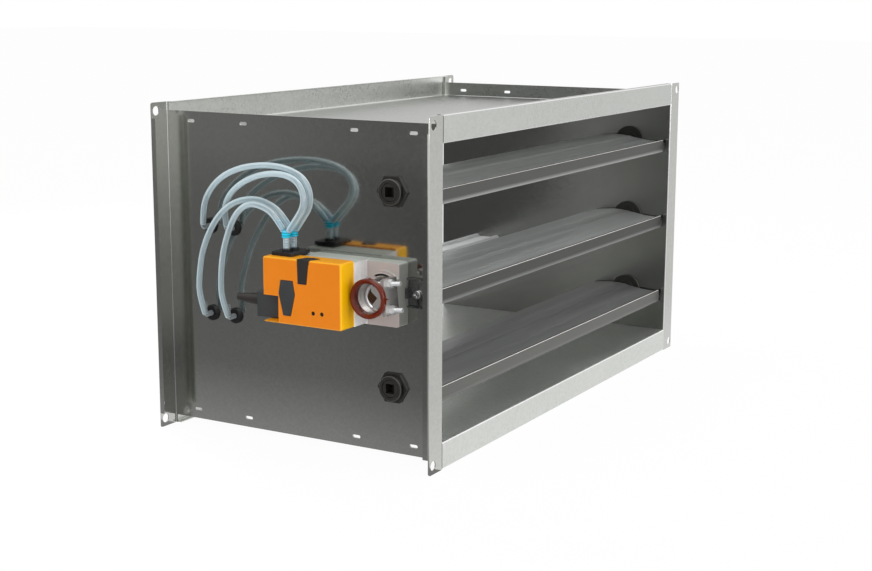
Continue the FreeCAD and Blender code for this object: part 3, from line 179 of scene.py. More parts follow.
class BladeSettings(bpy.types.PropertyGroup):
    """Damper blades."""
    blade_colour: FloatVectorProperty(name="Blade colour", description="Drawn aluminium",
                                      subtype="COLOR", size=3, default=colour(176, 178, 177))


class HoseSettings(bpy.types.PropertyGroup):
    """Clear pressure hoses."""
    diameter: FloatProperty(name="Diameter", description="Outside of the hose", unit="LENGTH",
                            default=0.0065, min=0.002, max=0.02)
    wall: FloatProperty(name="Wall", description="Thickness of the hose's wall", unit="LENGTH",
                        default=0.0012, min=0.0002, max=0.005)
    barb_pitch: FloatProperty(name="Barb pitch", description="Between two barbs of a stem",
                              unit="LENGTH", default=0.0026, min=0.0005, max=0.01)
    hose_colour: FloatVectorProperty(name="Hose colour", description="Tint of the clear hose",
                                     subtype="COLOR", size=3, default=colour(228, 248, 255))
    connector_colour: FloatVectorProperty(name="Connector colour", description="Y connectors",
                                          subtype="COLOR", size=3, default=colour(0, 196, 236))


class ActuatorSettings(bpy.types.PropertyGroup):
    """Actuator and its controls."""
    cover_colour: FloatVectorProperty(name="Cover colour", description="Moulded cover",
                                      subtype="COLOR", size=3, default=colour(234, 131, 11))
    housing_colour: FloatVectorProperty(name="Housing colour", description="Gear housing",
                                        subtype="COLOR", size=3, default=colour(190, 178, 174))
    button_colour: FloatVectorProperty(name="Button colour", description="Buttons and connector",
                                       subtype="COLOR", size=3, default=colour(55, 57, 58))


class ClampSettings(bpy.types.PropertyGroup):
    """Shaft clamp and position ring."""
    thread_pitch: FloatProperty(name="Thread pitch", description="Pitch on the U-bolt's legs",
                                unit="LENGTH", default=0.0008, min=0.0003, max=0.003)
    ring_colour: FloatVectorProperty(name="Ring colour", description="Position ring",
                                     subtype="COLOR", size=3, default=colour(102, 33, 15))


class StageSettings(bpy.types.PropertyGroup):
    """Floor and lamps."""
    floor_colour: FloatVectorProperty(name="Floor colour", description="Pale floor",
                                      subtype="COLOR", size=3, default=colour(244, 244, 244))
    daylight: FloatProperty(name="Daylight", description="Even light from all round",
                            default=0.62, min=0.0, max=3.0)
    key_power: FloatProperty(name="Key lamp", description="Lamp to the right of the camera",
                             subtype="POWER", default=16.0, min=0.0, max=200.0)


SETTINGS = {"air_box_casing": CasingSettings, "air_box_blades": BladeSettings,
            "air_box_hoses": HoseSettings, "air_box_actuator": ActuatorSettings,
            "air_box_clamp": ClampSettings, "air_box_stage": StageSettings}


class Tree:
    """Adds nodes to one tree; an input may be a value or another node's socket."""

    def __init__(self, tree):
        self.tree = tree

    def feed(self, node, inputs):
        """Set or link inputs of a node."""
        for key, value in inputs.items():
            if isinstance(value, bpy.types.NodeSocket):
                self.tree.links.new(value, node.inputs[key])
            else:
                node.inputs[key].default_value = value

    def add(self, kind, inputs=None, **settings):
        node = self.tree.nodes.new(kind)
        for key, value in settings.items():
            setattr(node, key, value)
        self.feed(node, inputs or {})
        return node

    def math(self, operation, first, second=0.0):
        return self.add("ShaderNodeMath", {0: first, 1: second}, operation=operation).outputs[0]

    def vector(self, operation, first, second=(0.0, 0.0, 0.0)):
        node = self.add("ShaderNodeVectorMath", {0: first, 1: second}, operation=operation)
        return node.outputs[0]

    def axes(self, vector):
        return self.add("ShaderNodeSeparateXYZ", {0: vector}).outputs

    def noise(self, place, scale, detail):
        return self.add("ShaderNodeTexNoise", {"Vector": place, "Scale": scale, "Detail": detail})

    def total(self, *parts):
        """Sum of values, each times its share."""
        shares = [self.math("MULTIPLY", value, share) for value, share in parts]
        while len(shares) > 1:
            shares[:2] = [self.math("ADD", shares[0], shares[1])]
        return shares[0]

    def blend(self, factor, first, second):
        """Colour between two colours."""
        colours = [value if isinstance(value, bpy.types.NodeSocket) else (*value[:3], 1.0)
                   for value in (first, second)]
        return self.add("ShaderNodeMix", {0: factor, 6: colours[0], 7: colours[1]},
                        data_type="RGBA").outputs[2]

    def spread(self, value, low, high, start=0.0, end=1.0):
        """Map a value from start..end to low..high."""
        return self.add("ShaderNodeMapRange", {"Value": value, "From Min": start, "From Max": end,
                                               "To Min": low, "To Max": high}).outputs[0]


def new_group(name, kind, inputs, outputs):
    """Node group with named sockets; returns its builder and its two end nodes."""
    group = bpy.data.node_groups.new(name, kind)
    for label, socket, default in inputs:
        made = group.interface.new_socket(name=label, in_out="INPUT", socket_type=socket)
        if default is not None:
            made.default_value = default
    for label, socket in outputs:
        group.interface.new_socket(name=label, in_out="OUTPUT", socket_type=socket)
    tree = Tree(group)
    return tree, tree.add("NodeGroupInput").outputs, tree.add("NodeGroupOutput")


def new_effect(name, *inputs):
    """Group that turns a place on the piece into a tone and a relief."""
    return new_group(name, "ShaderNodeTree", [("Vector", "NodeSocketVector", None), *inputs],
                     [("Tone", "NodeSocketFloat"), ("Relief", "NodeSocketFloat")])


def crystals_group(name):
    """Zinc crystals: each cell has its own tone, softened by a fine noise."""
    tree, start, end = new_effect(name, ("Size", "NodeSocketFloat", 0.005))
    scale = tree.math("DIVIDE", 1.0, start["Size"])
    warp = tree.noise(start["Vector"], tree.math("MULTIPLY", scale, 0.6), 2.0)
    shift = tree.add("ShaderNodeVectorMath", {0: warp.outputs["Color"], "Scale": 0.004},
                     operation="SCALE")
    bent = tree.vector("ADD", start["Vector"], shift.outputs[0])
    cells = tree.add("ShaderNodeTexVoronoi", {"Vector": bent, "Scale": scale})
    cell_tone = tree.add("ShaderNodeSeparateColor", {0: cells.outputs["Color"]}).outputs[0]
    fine = tree.noise(start["Vector"], tree.math("MULTIPLY", scale, 5.0), 4.0).outputs["Fac"]
    broad = tree.noise(start["Vector"], 9.0, 3.0).outputs["Fac"]
    tree.feed(end, {"Tone": tree.total((cell_tone, 0.35), (fine, 0.35), (broad, 0.3)),
                    "Relief": fine})


def grain_group(name):
    """Long grain: noise drawn out along one direction, in two widths."""
    tree, start, end = new_effect(name, ("Stretch", "NodeSocketVector", (1.0, 1.0, 1.0)),
                                  ("Scale", "NodeSocketFloat", 400.0))
    drawn = tree.vector("MULTIPLY", start["Vector"], start["Stretch"])
    fine = tree.noise(drawn, start["Scale"], 3.0).outputs["Fac"]
    wide = tree.noise(drawn, tree.math("MULTIPLY", start["Scale"], 0.12), 2.0).outputs["Fac"]
    tree.feed(end, {"Tone": tree.total((fine, 0.5), (wide, 0.5)), "Relief": fine})


def moulded_group(name):
    """Moulded skin: a fine even texture, and slow changes of tone where it was handled."""
    tree, start, end = new_effect(name, ("Scale", "NodeSocketFloat", 2500.0))
    skin = tree.add("ShaderNodeTexVoronoi", {"Vector": start["Vector"],
                                             "Scale": start["Scale"]}).outputs["Distance"]
    slow = tree.noise(start["Vector"], 45.0, 4.0).outputs["Fac"]
    tree.feed(end, {"Tone": tree.total((skin, 0.3), (slow, 0.7)), "Relief": skin})


def barb_shading_group(name):
    """Bands across barbed stems, lighter on each barb and darker between them: painted light and
    shade of the barbs.
    """
    tree, start, end = new_effect(name, ("Pitch", "NodeSocketFloat", 0.002))
    turns = tree.math("DIVIDE", tree.axes(start["Vector"])[2], start["Pitch"])
    wave = tree.math("SINE", tree.math("MULTIPLY", turns, 2 * math.pi))
    tone = tree.spread(wave, 0.25, 0.75, -1.0, 1.0)
    tree.feed(end, {"Tone": tone, "Relief": tone})


def edge_highlight_group(name):
    """Painted highlight on edges: a mask where the surface turns from one flat side of the piece to
    the next.
    """
    tree, start, end = new_group(name, "ShaderNodeTree", [("Normal", "NodeSocketVector", None)],
                                 [("Mask", "NodeSocketFloat")])
    x, y, z = tree.axes(tree.vector("ABSOLUTE", start["Normal"]))
    largest = tree.math("MAXIMUM", tree.math("MAXIMUM", x, y), z)
    tree.feed(end, {"Mask": tree.spread(largest, 1.0, 0.0, 0.8, 0.97)})


def new_shape(name, *inputs):
    """Geometry Nodes group that makes a piece in one finish."""
    return new_group(name, "GeometryNodeTree", [*inputs, ("Finish", "NodeSocketMaterial", None)],
                     [("Geometry", "NodeSocketGeometry")])


def end_shape(tree, start, end, geometry):
    """Close a shape's group: real geometry, in its finish."""
    real = tree.add("GeometryNodeRealizeInstances", {"Geometry": geometry})
    done = tree.add("GeometryNodeSetMaterial", {"Geometry": real.outputs[0],
                                                "Material": start["Finish"]})
    tree.feed(end, {"Geometry": done.outputs[0]})


def tube_group(name):
    """Tube along a route, with open or closed ends."""
    tree, start, end = new_shape(
        name, ("Route", "NodeSocketObject", None), ("Radius", "NodeSocketFloat", 0.003),
        ("Closed ends", "NodeSocketBool", False))
    route = tree.add("GeometryNodeObjectInfo", {"Object": start["Route"]})
    ring = tree.add("GeometryNodeCurvePrimitiveCircle", {"Resolution": TUBE_SIDES,
                                                         "Radius": start["Radius"]})
    tube = tree.add("GeometryNodeCurveToMesh", {"Curve": route.outputs["Geometry"],
                                                "Profile Curve": ring.outputs["Curve"],
                                                "Fill Caps": start["Closed ends"]})
    smooth = tree.add("GeometryNodeSetShadeSmooth", {"Geometry": tube.outputs["Mesh"]})
    end_shape(tree, start, end, smooth.outputs[0])


def ribs_group(name):
    """Short ribs round the rims of four like flanges on a wall."""
    tree, start, end = new_shape(
        name, ("Flange radius", "NodeSocketFloat", 0.008), ("Ribs", "NodeSocketInt", 24),
        ("Rib radius", "NodeSocketFloat", 0.0005), ("Rib length", "NodeSocketFloat", 0.002),
        ("Middle", "NodeSocketVector", None), ("Spacing across", "NodeSocketFloat", 0.03),
        ("Spacing up", "NodeSocketFloat", 0.1))
    rim = tree.add("GeometryNodeMeshCircle", {"Vertices": start["Ribs"],
                                              "Radius": start["Flange radius"]})
    rib = tree.add("GeometryNodeMeshCylinder", {"Vertices": RIB_SIDES, "Depth": start["Rib length"],
                                                "Radius": start["Rib radius"]})
    ribbed = tree.add("GeometryNodeInstanceOnPoints", {"Points": rim.outputs[0],
                                                       "Instance": rib.outputs[0]})
    grid = tree.add("GeometryNodeMeshGrid", {"Vertices X": 2, "Size X": start["Spacing across"],
                                             "Vertices Y": 2, "Size Y": start["Spacing up"]})
    flanges = tree.add("GeometryNodeInstanceOnPoints", {"Points": grid.outputs[0],
                                                        "Instance": ribbed.outputs[0]})
    placed = tree.add("GeometryNodeTransform", {"Geometry": flanges.outputs[0],
                                                "Translation": start["Middle"],
                                                "Rotation": (math.radians(90.0), 0.0, 0.0)})
    end_shape(tree, start, end, placed.outputs[0])


def thread_group(name):
    """Helical thread, repeated on two legs that stand side by side."""
    tree, start, end = new_shape(
        name, ("Length", "NodeSocketFloat", 0.01), ("Pitch", "NodeSocketFloat", 0.0008),
        ("Radius", "NodeSocketFloat", 0.0022), ("Crest", "NodeSocketFloat", 0.0003),
        ("First leg", "NodeSocketVector", None), ("To next leg", "NodeSocketVector", None),
        ("Turn", "NodeSocketVector", None))
    turns = tree.math("DIVIDE", start["Length"], start["Pitch"])
    spiral = tree.add("GeometryNodeCurveSpiral",
                      {"Resolution": THREAD_STEPS, "Rotations": turns, "Height": start["Length"],
                       "Start Radius": start["Radius"], "End Radius": start["Radius"]})
    ridge = tree.add("GeometryNodeCurvePrimitiveCircle", {"Resolution": RIDGE_SIDES,
                                                          "Radius": start["Crest"]})
    helix = tree.add("GeometryNodeCurveToMesh", {"Curve": spiral.outputs[0],
                                                 "Profile Curve": ridge.outputs["Curve"]})
    legs = tree.add("GeometryNodeMeshLine", {"Count": 2, "Start Location": start["First leg"],
                                             "Offset": start["To next leg"]})
    turn = tree.add("FunctionNodeEulerToRotation", {"Euler": start["Turn"]})
    copies = tree.add("GeometryNodeInstanceOnPoints", {"Points": legs.outputs[0],
                                                       "Instance": helix.outputs[0],
                                                       "Rotation": turn.outputs[0]})
    end_shape(tree, start, end, copies.outputs[0])


GROUPS = {"zinc crystals": crystals_group, "drawn grain": grain_group,
          "moulded skin": moulded_group, "painted barb shading": barb_shading_group, "painted edge highlights": edge_highlight_group,
          "tube along a route": tube_group, "ribs round flanges": ribs_group,
          "threads on legs": thread_group}


def group_named(name):
    """One of the groups, built the first time it is asked for."""
    if name not in bpy.data.node_groups:
        GROUPS[name](name)
    return bpy.data.node_groups[name]


def scaled(tint, factor):
    """Lighter or darker colour."""
    return tuple(min(1.0, level * factor) for level in tint)


def new_material(name):
    """Material with nodes; returns it with its builder and its shader."""
    material = bpy.data.materials.new(name)
    material.use_nodes = True
    return material, Tree(material.node_tree), material.node_tree.nodes["Principled BSDF"]


def end_finish(tree, shader, bump, height, sockets):
    """Give a surface its relief, and the values that are the same all over it."""
    relief = tree.add("ShaderNodeBump", {"Strength": bump, "Distance": RELIEF_DEPTH,
                                         "Height": height})
    tree.feed(shader, {"Normal": relief.outputs["Normal"]})
    tree.feed(shader, {key.replace("_", " "): value for key, value in sockets.items()})


def finish(name, tint, roughness, effect, values, tone=0.15, wander=0.08, bump=0.1, zones=(),
           edge=0.0, edge_tint=(1.0, 1.0, 1.0), **sockets):
    """Material whose colour, roughness and relief follow one shared effect.

    A zone is (source, axis, start, end, colour, roughness): its colour and roughness take over
    as the object's own coordinate or normal goes from start to end.
    """
    material, tree, shader = new_material(name)
    place = tree.add("ShaderNodeTexCoord").outputs
    marks = tree.add("ShaderNodeGroup", {"Vector": place["Object"], **values},
                     node_tree=group_named(effect)).outputs
    dark, light = scaled(tint, 1 - tone), scaled(tint, 1 + tone)
    rough = roughness
    for source, axis, start, end, tint_there, roughness_there in zones:
        share = tree.spread(tree.axes(place[source])[axis], 0.0, 1.0, start, end)
        dark = tree.blend(share, dark, scaled(tint_there, 1 - tone))
        light = tree.blend(share, light, scaled(tint_there, 1 + tone))
        if roughness_there != roughness:
            rough = tree.add("ShaderNodeMix", {0: share, 2: rough, 3: roughness_there}).outputs[0]
    surface = tree.blend(tree.spread(marks["Tone"], 0.0, 1.0, *TONE_RANGE), dark, light)
    # The edge share whitens or tints the colour on the piece's bends and rounded edges: a painted
    # highlight.
    if edge:
        edge_highlight = tree.add("ShaderNodeGroup", {"Normal": place["Normal"]},
                        node_tree=group_named("painted edge highlights"))
        surface = tree.blend(tree.math("MULTIPLY", edge_highlight.outputs["Mask"], edge), surface,
                             edge_tint)
    swing = tree.spread(marks["Tone"], -wander, wander, *TONE_RANGE)
    tree.feed(shader, {"Base Color": surface, "Roughness": tree.math("ADD", rough, swing)})
    end_finish(tree, shader, bump, marks["Relief"], sockets)
    return material


def clear_finish(name, tint, centre, edge, roughness, **sockets):
    """Clear plastic: see-through where it faces you, denser towards its edges, with painted bands
    of highlight and shade across it.
    """
    material, tree, shader = new_material(name)
    place = tree.add("ShaderNodeTexCoord").outputs["Object"]
    cloud = tree.noise(place, CLOUD_SCALE, 3.0).outputs["Fac"]
    facing = tree.add("ShaderNodeLayerWeight", {"Blend": 0.65}).outputs["Facing"]
    wall = tree.add("ShaderNodeValToRGB",
                    {0: tree.math("ADD", tree.math("MULTIPLY", cloud, CLOUD_SHARE), facing)})
    for place_at, _ in CLEAR_SHADES[1:-1]:
        wall.color_ramp.elements.new(place_at)
    for stop, (_, shade) in zip(wall.color_ramp.elements, CLEAR_SHADES):
        stop.color = (*scaled(tint, shade), 1.0)
    tree.feed(shader, {"Base Color": wall.outputs["Color"],
                       "Alpha": tree.spread(facing, centre, edge),
                       "Roughness": tree.spread(cloud, roughness, roughness + CLOUD_ROUGHNESS)})
    end_finish(tree, shader, CLOUD_BUMP, cloud, sockets)
    return material


def zinc(name, tint, roughness, size, **more):
    """Galvanised sheet."""
    return finish(name, tint, roughness, "zinc crystals", {"Size": size}, Metallic=1.0, **more)


def plastic(name, tint, roughness, **more):
    """Moulded plastic or rubber."""
    return finish(name, tint, roughness, "moulded skin", {"Scale": SKIN_SCALE}, **more)


def metal(name, tint, roughness, stretch, scale=GRAIN_SCALE, metallic=1.0, **more):
    """Plated or drawn metal with its grain along one direction."""
    return finish(name, tint, roughness, "drawn grain", {"Stretch": stretch, "Scale": scale},
                  Metallic=metallic, **more)


def dress(material, *names):
    """Give CAD nodes a finish."""
    for name in names:
        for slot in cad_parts[name].material_slots:
            slot.material = material


def settings(key):
    """Settings of one group of pieces."""
    return getattr(bpy.context.scene, key)


def outlet_point(back, depth, height):
    """Point from a route: behind the outlet, off the near wall, and up."""
    return Vector((-back, -WALL_FACE - depth, height))


def slot_point(reach, angle, depth=0.0):
    """Point on an arc round the blade axis, on or behind the front of the housing's boss."""
    turn = math.radians(angle)
    return (-BLADE_AXIS + reach * math.cos(turn), -WALL_FACE - BOSS_FRONT + depth,
            reach * math.sin(turn))


def new_object(name, data):
    """Object in the scene."""
    made = bpy.data.objects.new(name, data)
    bpy.context.scene.collection.objects.link(made)
    return made


def plain_mesh(source):
    """Mesh of an object as it is evaluated."""
    bpy.context.view_layer.update()
    evaluated = source.evaluated_get(bpy.context.evaluated_depsgraph_get())
    return bpy.data.meshes.new_from_object(evaluated)


def grow(name, shape, inputs):
    """Plain mesh object made by one of the Geometry Nodes groups."""
    holder = new_object(name + "_nodes", bpy.data.meshes.new(name + "_nodes"))
    modifier = holder.modifiers.new("shape", "NODES")
    modifier.node_group = group_named(shape)
    for item in modifier.node_group.interface.items_tree:
        if item.item_type == "SOCKET" and item.in_out == "INPUT" and item.name in inputs:
            modifier[item.identifier] = inputs[item.name]
    mesh = plain_mesh(holder)
    holder.modifiers.remove(modifier)
    bpy.data.objects.remove(holder)
    return new_object(name, mesh)


def route_line(name, kind, points):
    """Curve through points or led by them, and its one spline."""
    line = bpy.data.curves.new(name + "_route", "CURVE")
    line.dimensions = "3D"
    line.resolution_u = ROUTE_STEPS
    spline = line.splines.new(kind)
    spline.points.add(len(points) - 1)
    for point, place in zip(spline.points, points):
        point.co = (*place, 1.0)
    return new_object(name + "_route", line), spline


def tube_along(name, points, radius, material, loop=False):
    """Round bead through points, closed at its ends or into a loop."""
    guide, spline = route_line(name, "POLY", points)
    spline.use_cyclic_u = loop
    bpy.context.view_layer.update()
    bead = grow(name, "tube along a route", {"Route": guide, "Radius": radius,
                                             "Closed ends": True, "Finish": material})
    bpy.data.objects.remove(guide)
    return bead


class AIRBOX_OT_casing(bpy.types.Operator):
    """Galvanised walls and panels"""
    bl_idname = "airbox.casing"
    bl_label = "Casing"

    def execute(self, context):
        values = settings("air_box_casing")
        tint, panel_tint, size = values.wall_colour, values.panel_colour, values.crystal_size
        # Painted light: the foot zone makes the lower part of both walls lighter, standing in for
        # light from the floor.
        foot = (*WALL_FOOT, scaled(tint, 1.2), 0.11)
        # Near wall: painted light on the strip beside its inlet flange and on its inner face, and a
        # painted highlight on its bends.
        wall = zinc("satin zinc wall", tint, 0.095, size, tone=0.04, wander=0.02, bump=0.04,
                    zones=[foot, (*INLET_STRIP, scaled(tint, 1.15), 0.16),
                           (*TO_FAR, scaled(tint, 1.8), 0.3)], edge=0.2)
        # Far wall: painted shade on its inner face, and a painted highlight on its bends.
        far_wall = zinc("satin zinc far wall", tint, 0.11, size, tone=0.04, wander=0.02,
                        bump=0.04, zones=[foot, (*TO_NEAR, scaled(tint, 0.62), 0.23)], edge=0.5)
        # The panels' edge share is a painted highlight on their bends.
        panel = {"size": size, "tone": 0.06, "wander": 0.05, "bump": 0.10, "edge": 0.8}
        # Top panel: painted shade on its upper faces and on its faces towards the actuator, painted
        # light on its flange at the inlet.
        top = zinc("zinc top panel", panel_tint, 0.32, **panel,
                   zones=[(*UPWARD, scaled(panel_tint, 0.62), 0.32),
                          (*TO_NEAR, scaled(panel_tint, 0.5), 0.32),
                          (*INLET_UPSTAND, scaled(panel_tint, 1.45), 0.32)])
        # Bottom panel: a lighter copy of the panel zinc, lighter still on its upper faces: painted
        # light.
        bottom = zinc("zinc bottom panel, painted light", scaled(panel_tint, 1.25), 0.32, **panel,
                      zones=[(*UPWARD, scaled(panel_tint, 1.6), 0.4)])
        dress(wall, "near_side_wall")
        dress(far_wall, "far_side_wall")
        dress(top, "top_panel")
        dress(bottom, "bottom_panel")
        return {"FINISHED"}


class AIRBOX_OT_blades(bpy.types.Operator):
    """Extruded blades with their seals, journals and bearings"""
    bl_idname = "airbox.blades"
    bl_label = "Blades and bearings"

    def execute(self, context):
        values = settings("air_box_blades")
        strip_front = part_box("middle_blade")[1].x
        strip_back = strip_front - STRIP_THICKNESS
        strip_tint = colour(72, 72, 69)
        rubber = plastic("seal rubber", colour(26, 26, 27), 0.62, tone=0.2)
        # The bearing plastic's edge share is a painted highlight on its rims.
        black = plastic("black bearing plastic", colour(35, 34, 30), 0.38, tone=0.2, wander=0.1,
                        edge=0.3, edge_tint=colour(130, 131, 126))
        lengthways = (1.0, 0.02, 1.0)
        # A pale, almost matt bead along the top edge of each front strip: a painted highlight.
        bright = metal("painted highlight strip edge", colour(236, 232, 228), 0.3, lengthways, metallic=0.1,
                       tone=0.05)
        # Lit and shaded copies of one aluminium: each blade's skin and front strip get their own
        # lightness, painted light and shade for how light falls on the top, middle and bottom
        # blades.
        for name, shade, painted_strip_shade in (("top", 1.6, 0.9), ("middle", 1.04, 0.6),
                                         ("bottom", 0.56, 1.6)):
            strip = ("Object", 0, strip_back, strip_back + STRIP_FADE,
                     scaled(strip_tint, painted_strip_shade), 0.5)
            drawn = metal(name + " aluminium, painted light and shade", scaled(values.blade_colour, shade), 0.36,
                          lengthways, metallic=0.45, tone=0.2, zones=[strip])
            dress(drawn, name + "_blade")
            dress(rubber, name + "_blade_seal")
            dress(black, name + "_blade_journals")
            low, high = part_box(name + "_blade")
            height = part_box(name + "_blade_seal")[1].z - SEAL_PROUD
            ends = [(strip_front - EDGE_RADIUS, side, height - EDGE_DROP)
                    for side in (low.y + EDGE_RADIUS, high.y - EDGE_RADIUS)]
            edge = tube_along(name + "_strip_edge", ends, EDGE_RADIUS, bright)
            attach(edge, name + "_blade_unit")
        dress(black, "near_bearing_flanges", "near_bearing_nuts",
              "far_bearing_flanges", "far_bearing_nuts")
        return {"FINISHED"}


class AIRBOX_OT_linkage(bpy.types.Operator):
    """Link shafts, cranks, tie bar and pins outside the far wall"""
    bl_idname = "airbox.linkage"
    bl_label = "Linkage"

    def execute(self, context):
        plate = zinc("plated link", colour(182, 184, 186), 0.34, 0.004, tone=0.12)
        turned = metal("turned steel", colour(190, 191, 193), 0.26, (1.0, 1.0, 0.1))
        for name in ("top", "middle", "bottom"):
            dress(plate, name + "_crank")
            dress(turned, name + "_link_shaft", name + "_crank_screw")
        dress(plate, "tie_bar")
        dress(turned, "link_pins", "link_pin_clips")
        return {"FINISHED"}


class AIRBOX_OT_measuring(bpy.types.Operator):
    """Measuring bars with their screws, grommets and elbows"""
    bl_idname = "airbox.measuring"
    bl_label = "Measuring bars and taps"

    def execute(self, context):
        bar = metal("drawn bar", colour(228, 230, 229), 0.36, (1.0, 0.02, 1.0), metallic=0.1,
                    tone=0.04)
        screw = metal("plated screw", colour(196, 197, 199), 0.28, (1.0, 0.2, 1.0))
        rubber = plastic("grommet rubber", colour(17, 17, 18), 0.36, tone=0.25, wander=0.12)
        clear = clear_finish("clear elbow", colour(176, 184, 187), 0.35, 0.9, 0.15)
        low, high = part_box("tap_grommets")
        middle = (low + high) / 2
        ribs = grow("grommet_ribs", "ribs round flanges", {
            "Flange radius": GROMMET_RADIUS, "Ribs": RIB_COUNT, "Rib radius": RIB_RADIUS,
            "Rib length": RIB_LENGTH, "Middle": (middle.x, low.y + RIB_DEPTH, middle.z),
            "Spacing across": high.x - low.x - 2 * GROMMET_RADIUS,
            "Spacing up": high.z - low.z - 2 * GROMMET_RADIUS, "Finish": rubber})
        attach(ribs, "casing")
        dress(bar, "upper_measuring_bar", "lower_measuring_bar")
        dress(screw, "measuring_bar_screws")
        dress(rubber, "tap_grommets")
        dress(clear, "tap_elbows")
        return {"FINISHED"}


class AIRBOX_OT_hoses(bpy.types.Operator):
    """Four clear hoses with their stubs and Y connectors"""
    bl_idname = "airbox.hoses"
    bl_label = "Hoses"

    def execute(self, context):
        values = settings("air_box_hoses")
        clear = clear_finish("clear hose", values.hose_colour, 0.5, 1.0, 0.04,
                             Transmission_Weight=0.25, IOR=1.5, Coat_Weight=0.8, Coat_IOR=1.7)
        short = clear_finish("clear stub", colour(232, 248, 255), 0.15, 0.75, 0.05,
                             Transmission_Weight=0.1, IOR=1.4)
        # The connectors' bands are painted light and shade of their barbs.
        cyan = finish("cyan connector", values.connector_colour, 0.25, "painted barb shading",
                      {"Pitch": values.barb_pitch}, tone=0.3, bump=0.3,
                      zones=[(*CONNECTOR_STEMS, colour(216, 241, 255), 0.25),
                             (*CONNECTOR_ARMS, colour(130, 212, 255), 0.25)])
        for name, route in ROUTES.items():
            guide, spline = route_line(name, "NURBS", [outlet_point(*place) for place in route])
            spline.order_u = 3
            spline.use_endpoint_u = True
            path = [vertex.co.copy() for vertex in plain_mesh(guide).vertices]
            hose = grow("clear_" + name, "tube along a route",
                        {"Route": guide, "Radius": values.diameter / 2, "Finish": clear})
            wall = hose.modifiers.new("wall", "SOLIDIFY")
            wall.thickness = values.wall
            wall.offset = -1.0
            bpy.data.objects.remove(guide)
            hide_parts(name)
            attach(hose, "casing")
        dress(short, "hose_stubs")
        dress(cyan, "front_y_connector", "rear_y_connector")
        return {"FINISHED"}


class AIRBOX_OT_actuator(bpy.types.Operator):
    """Actuator housing, cover, controls and connections"""
    bl_idname = "airbox.actuator"
    bl_label = "Actuator"

    def execute(self, context):
        values = settings("air_box_actuator")
        # Painted light: the side towards the outlet and the top are a lighter, yellower orange, and
        # the edges carry a painted yellow highlight.
        cover = plastic("orange cover", values.cover_colour, 0.36, tone=0.02, wander=0.04,
                        bump=0.05, zones=[(*TO_OUTLET, colour(255, 190, 0), 0.36),
                                          (*UPWARD, colour(254, 170, 20), 0.36)],
                        edge=0.3, edge_tint=colour(255, 206, 70), Specular_IOR_Level=0.2)
        # Painted light and shade: the face towards the outlet gets a greener grey and the top a
        # lighter grey for how light falls on them, and the edges a painted highlight.
        housing = plastic("grey housing", values.housing_colour, 0.45, tone=0.05, bump=0.12,
                          zones=[(*TO_OUTLET, colour(180, 182, 176), 0.4),
                                 (*HOUSING_NECK, colour(252, 252, 255), 0.4),
                                 (*UPWARD, colour(196, 202, 194), 0.45)], edge=0.3)
        button = plastic("slate button", values.button_colour, 0.42, tone=0.12, bump=0.2)
        umber = plastic("umber button", colour(42, 37, 35), 0.42, tone=0.12, bump=0.2)
        black = plastic("black slot shadow", colour(24, 25, 27), 0.36, tone=0.2)
        stub_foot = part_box("hose_stubs")[0].z
        # Its bands are painted light and shade of the nozzles' barbs.
        nozzles = finish("black block, pale nozzles", colour(24, 25, 27), 0.36, "painted barb shading",
                         {"Pitch": settings("air_box_hoses").barb_pitch}, tone=0.2, bump=0.2,
                         zones=[("Object", 2, stub_foot, stub_foot + NOZZLE_FADE,
                                 colour(216, 241, 255), 0.25)])
        lens = plastic("smoked lens", colour(40, 34, 26), 0.12, tone=0.1, bump=0.0)
        board = plastic("green laminate", colour(30, 96, 56), 0.35, tone=0.15)
        sensor = plastic("sensor body", colour(196, 198, 200), 0.5, tone=0.05)
        dress(cover, "actuator_cover")
        dress(housing, "actuator_housing")
        dress(button, "adaptation_button", "cable_connector")
        dress(umber, "gear_release_button", "strain_relief")
        dress(nozzles, "nozzle_block")
        dress(lens, "status_lenses")
        dress(board, "circuit_board")
        dress(sensor, "pressure_sensor")
        outer, inner = SLOT_RADIUS + SLOT_WIDTH / 2, SLOT_RADIUS - SLOT_WIDTH / 2
        rim = tube_along("stop_slot_rim",
                         [slot_point(outer, angle) for angle in SLOT_ANGLES]
                         + [slot_point(inner, angle) for angle in reversed(SLOT_ANGLES)],
                         SLOT_RIM_RADIUS, housing, loop=True)
        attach(rim, "casing")
        # A dark bead laid in the stop slot: a painted shadow that deepens it.
        floor = tube_along("stop_slot_floor", [slot_point(SLOT_RADIUS, angle, SLOT_SHADOW_DEPTH)
                                               for angle in SLOT_SHADOW_ANGLES],
                           SLOT_SHADOW_RADIUS, black)
        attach(floor, "casing")
        return {"FINISHED"}


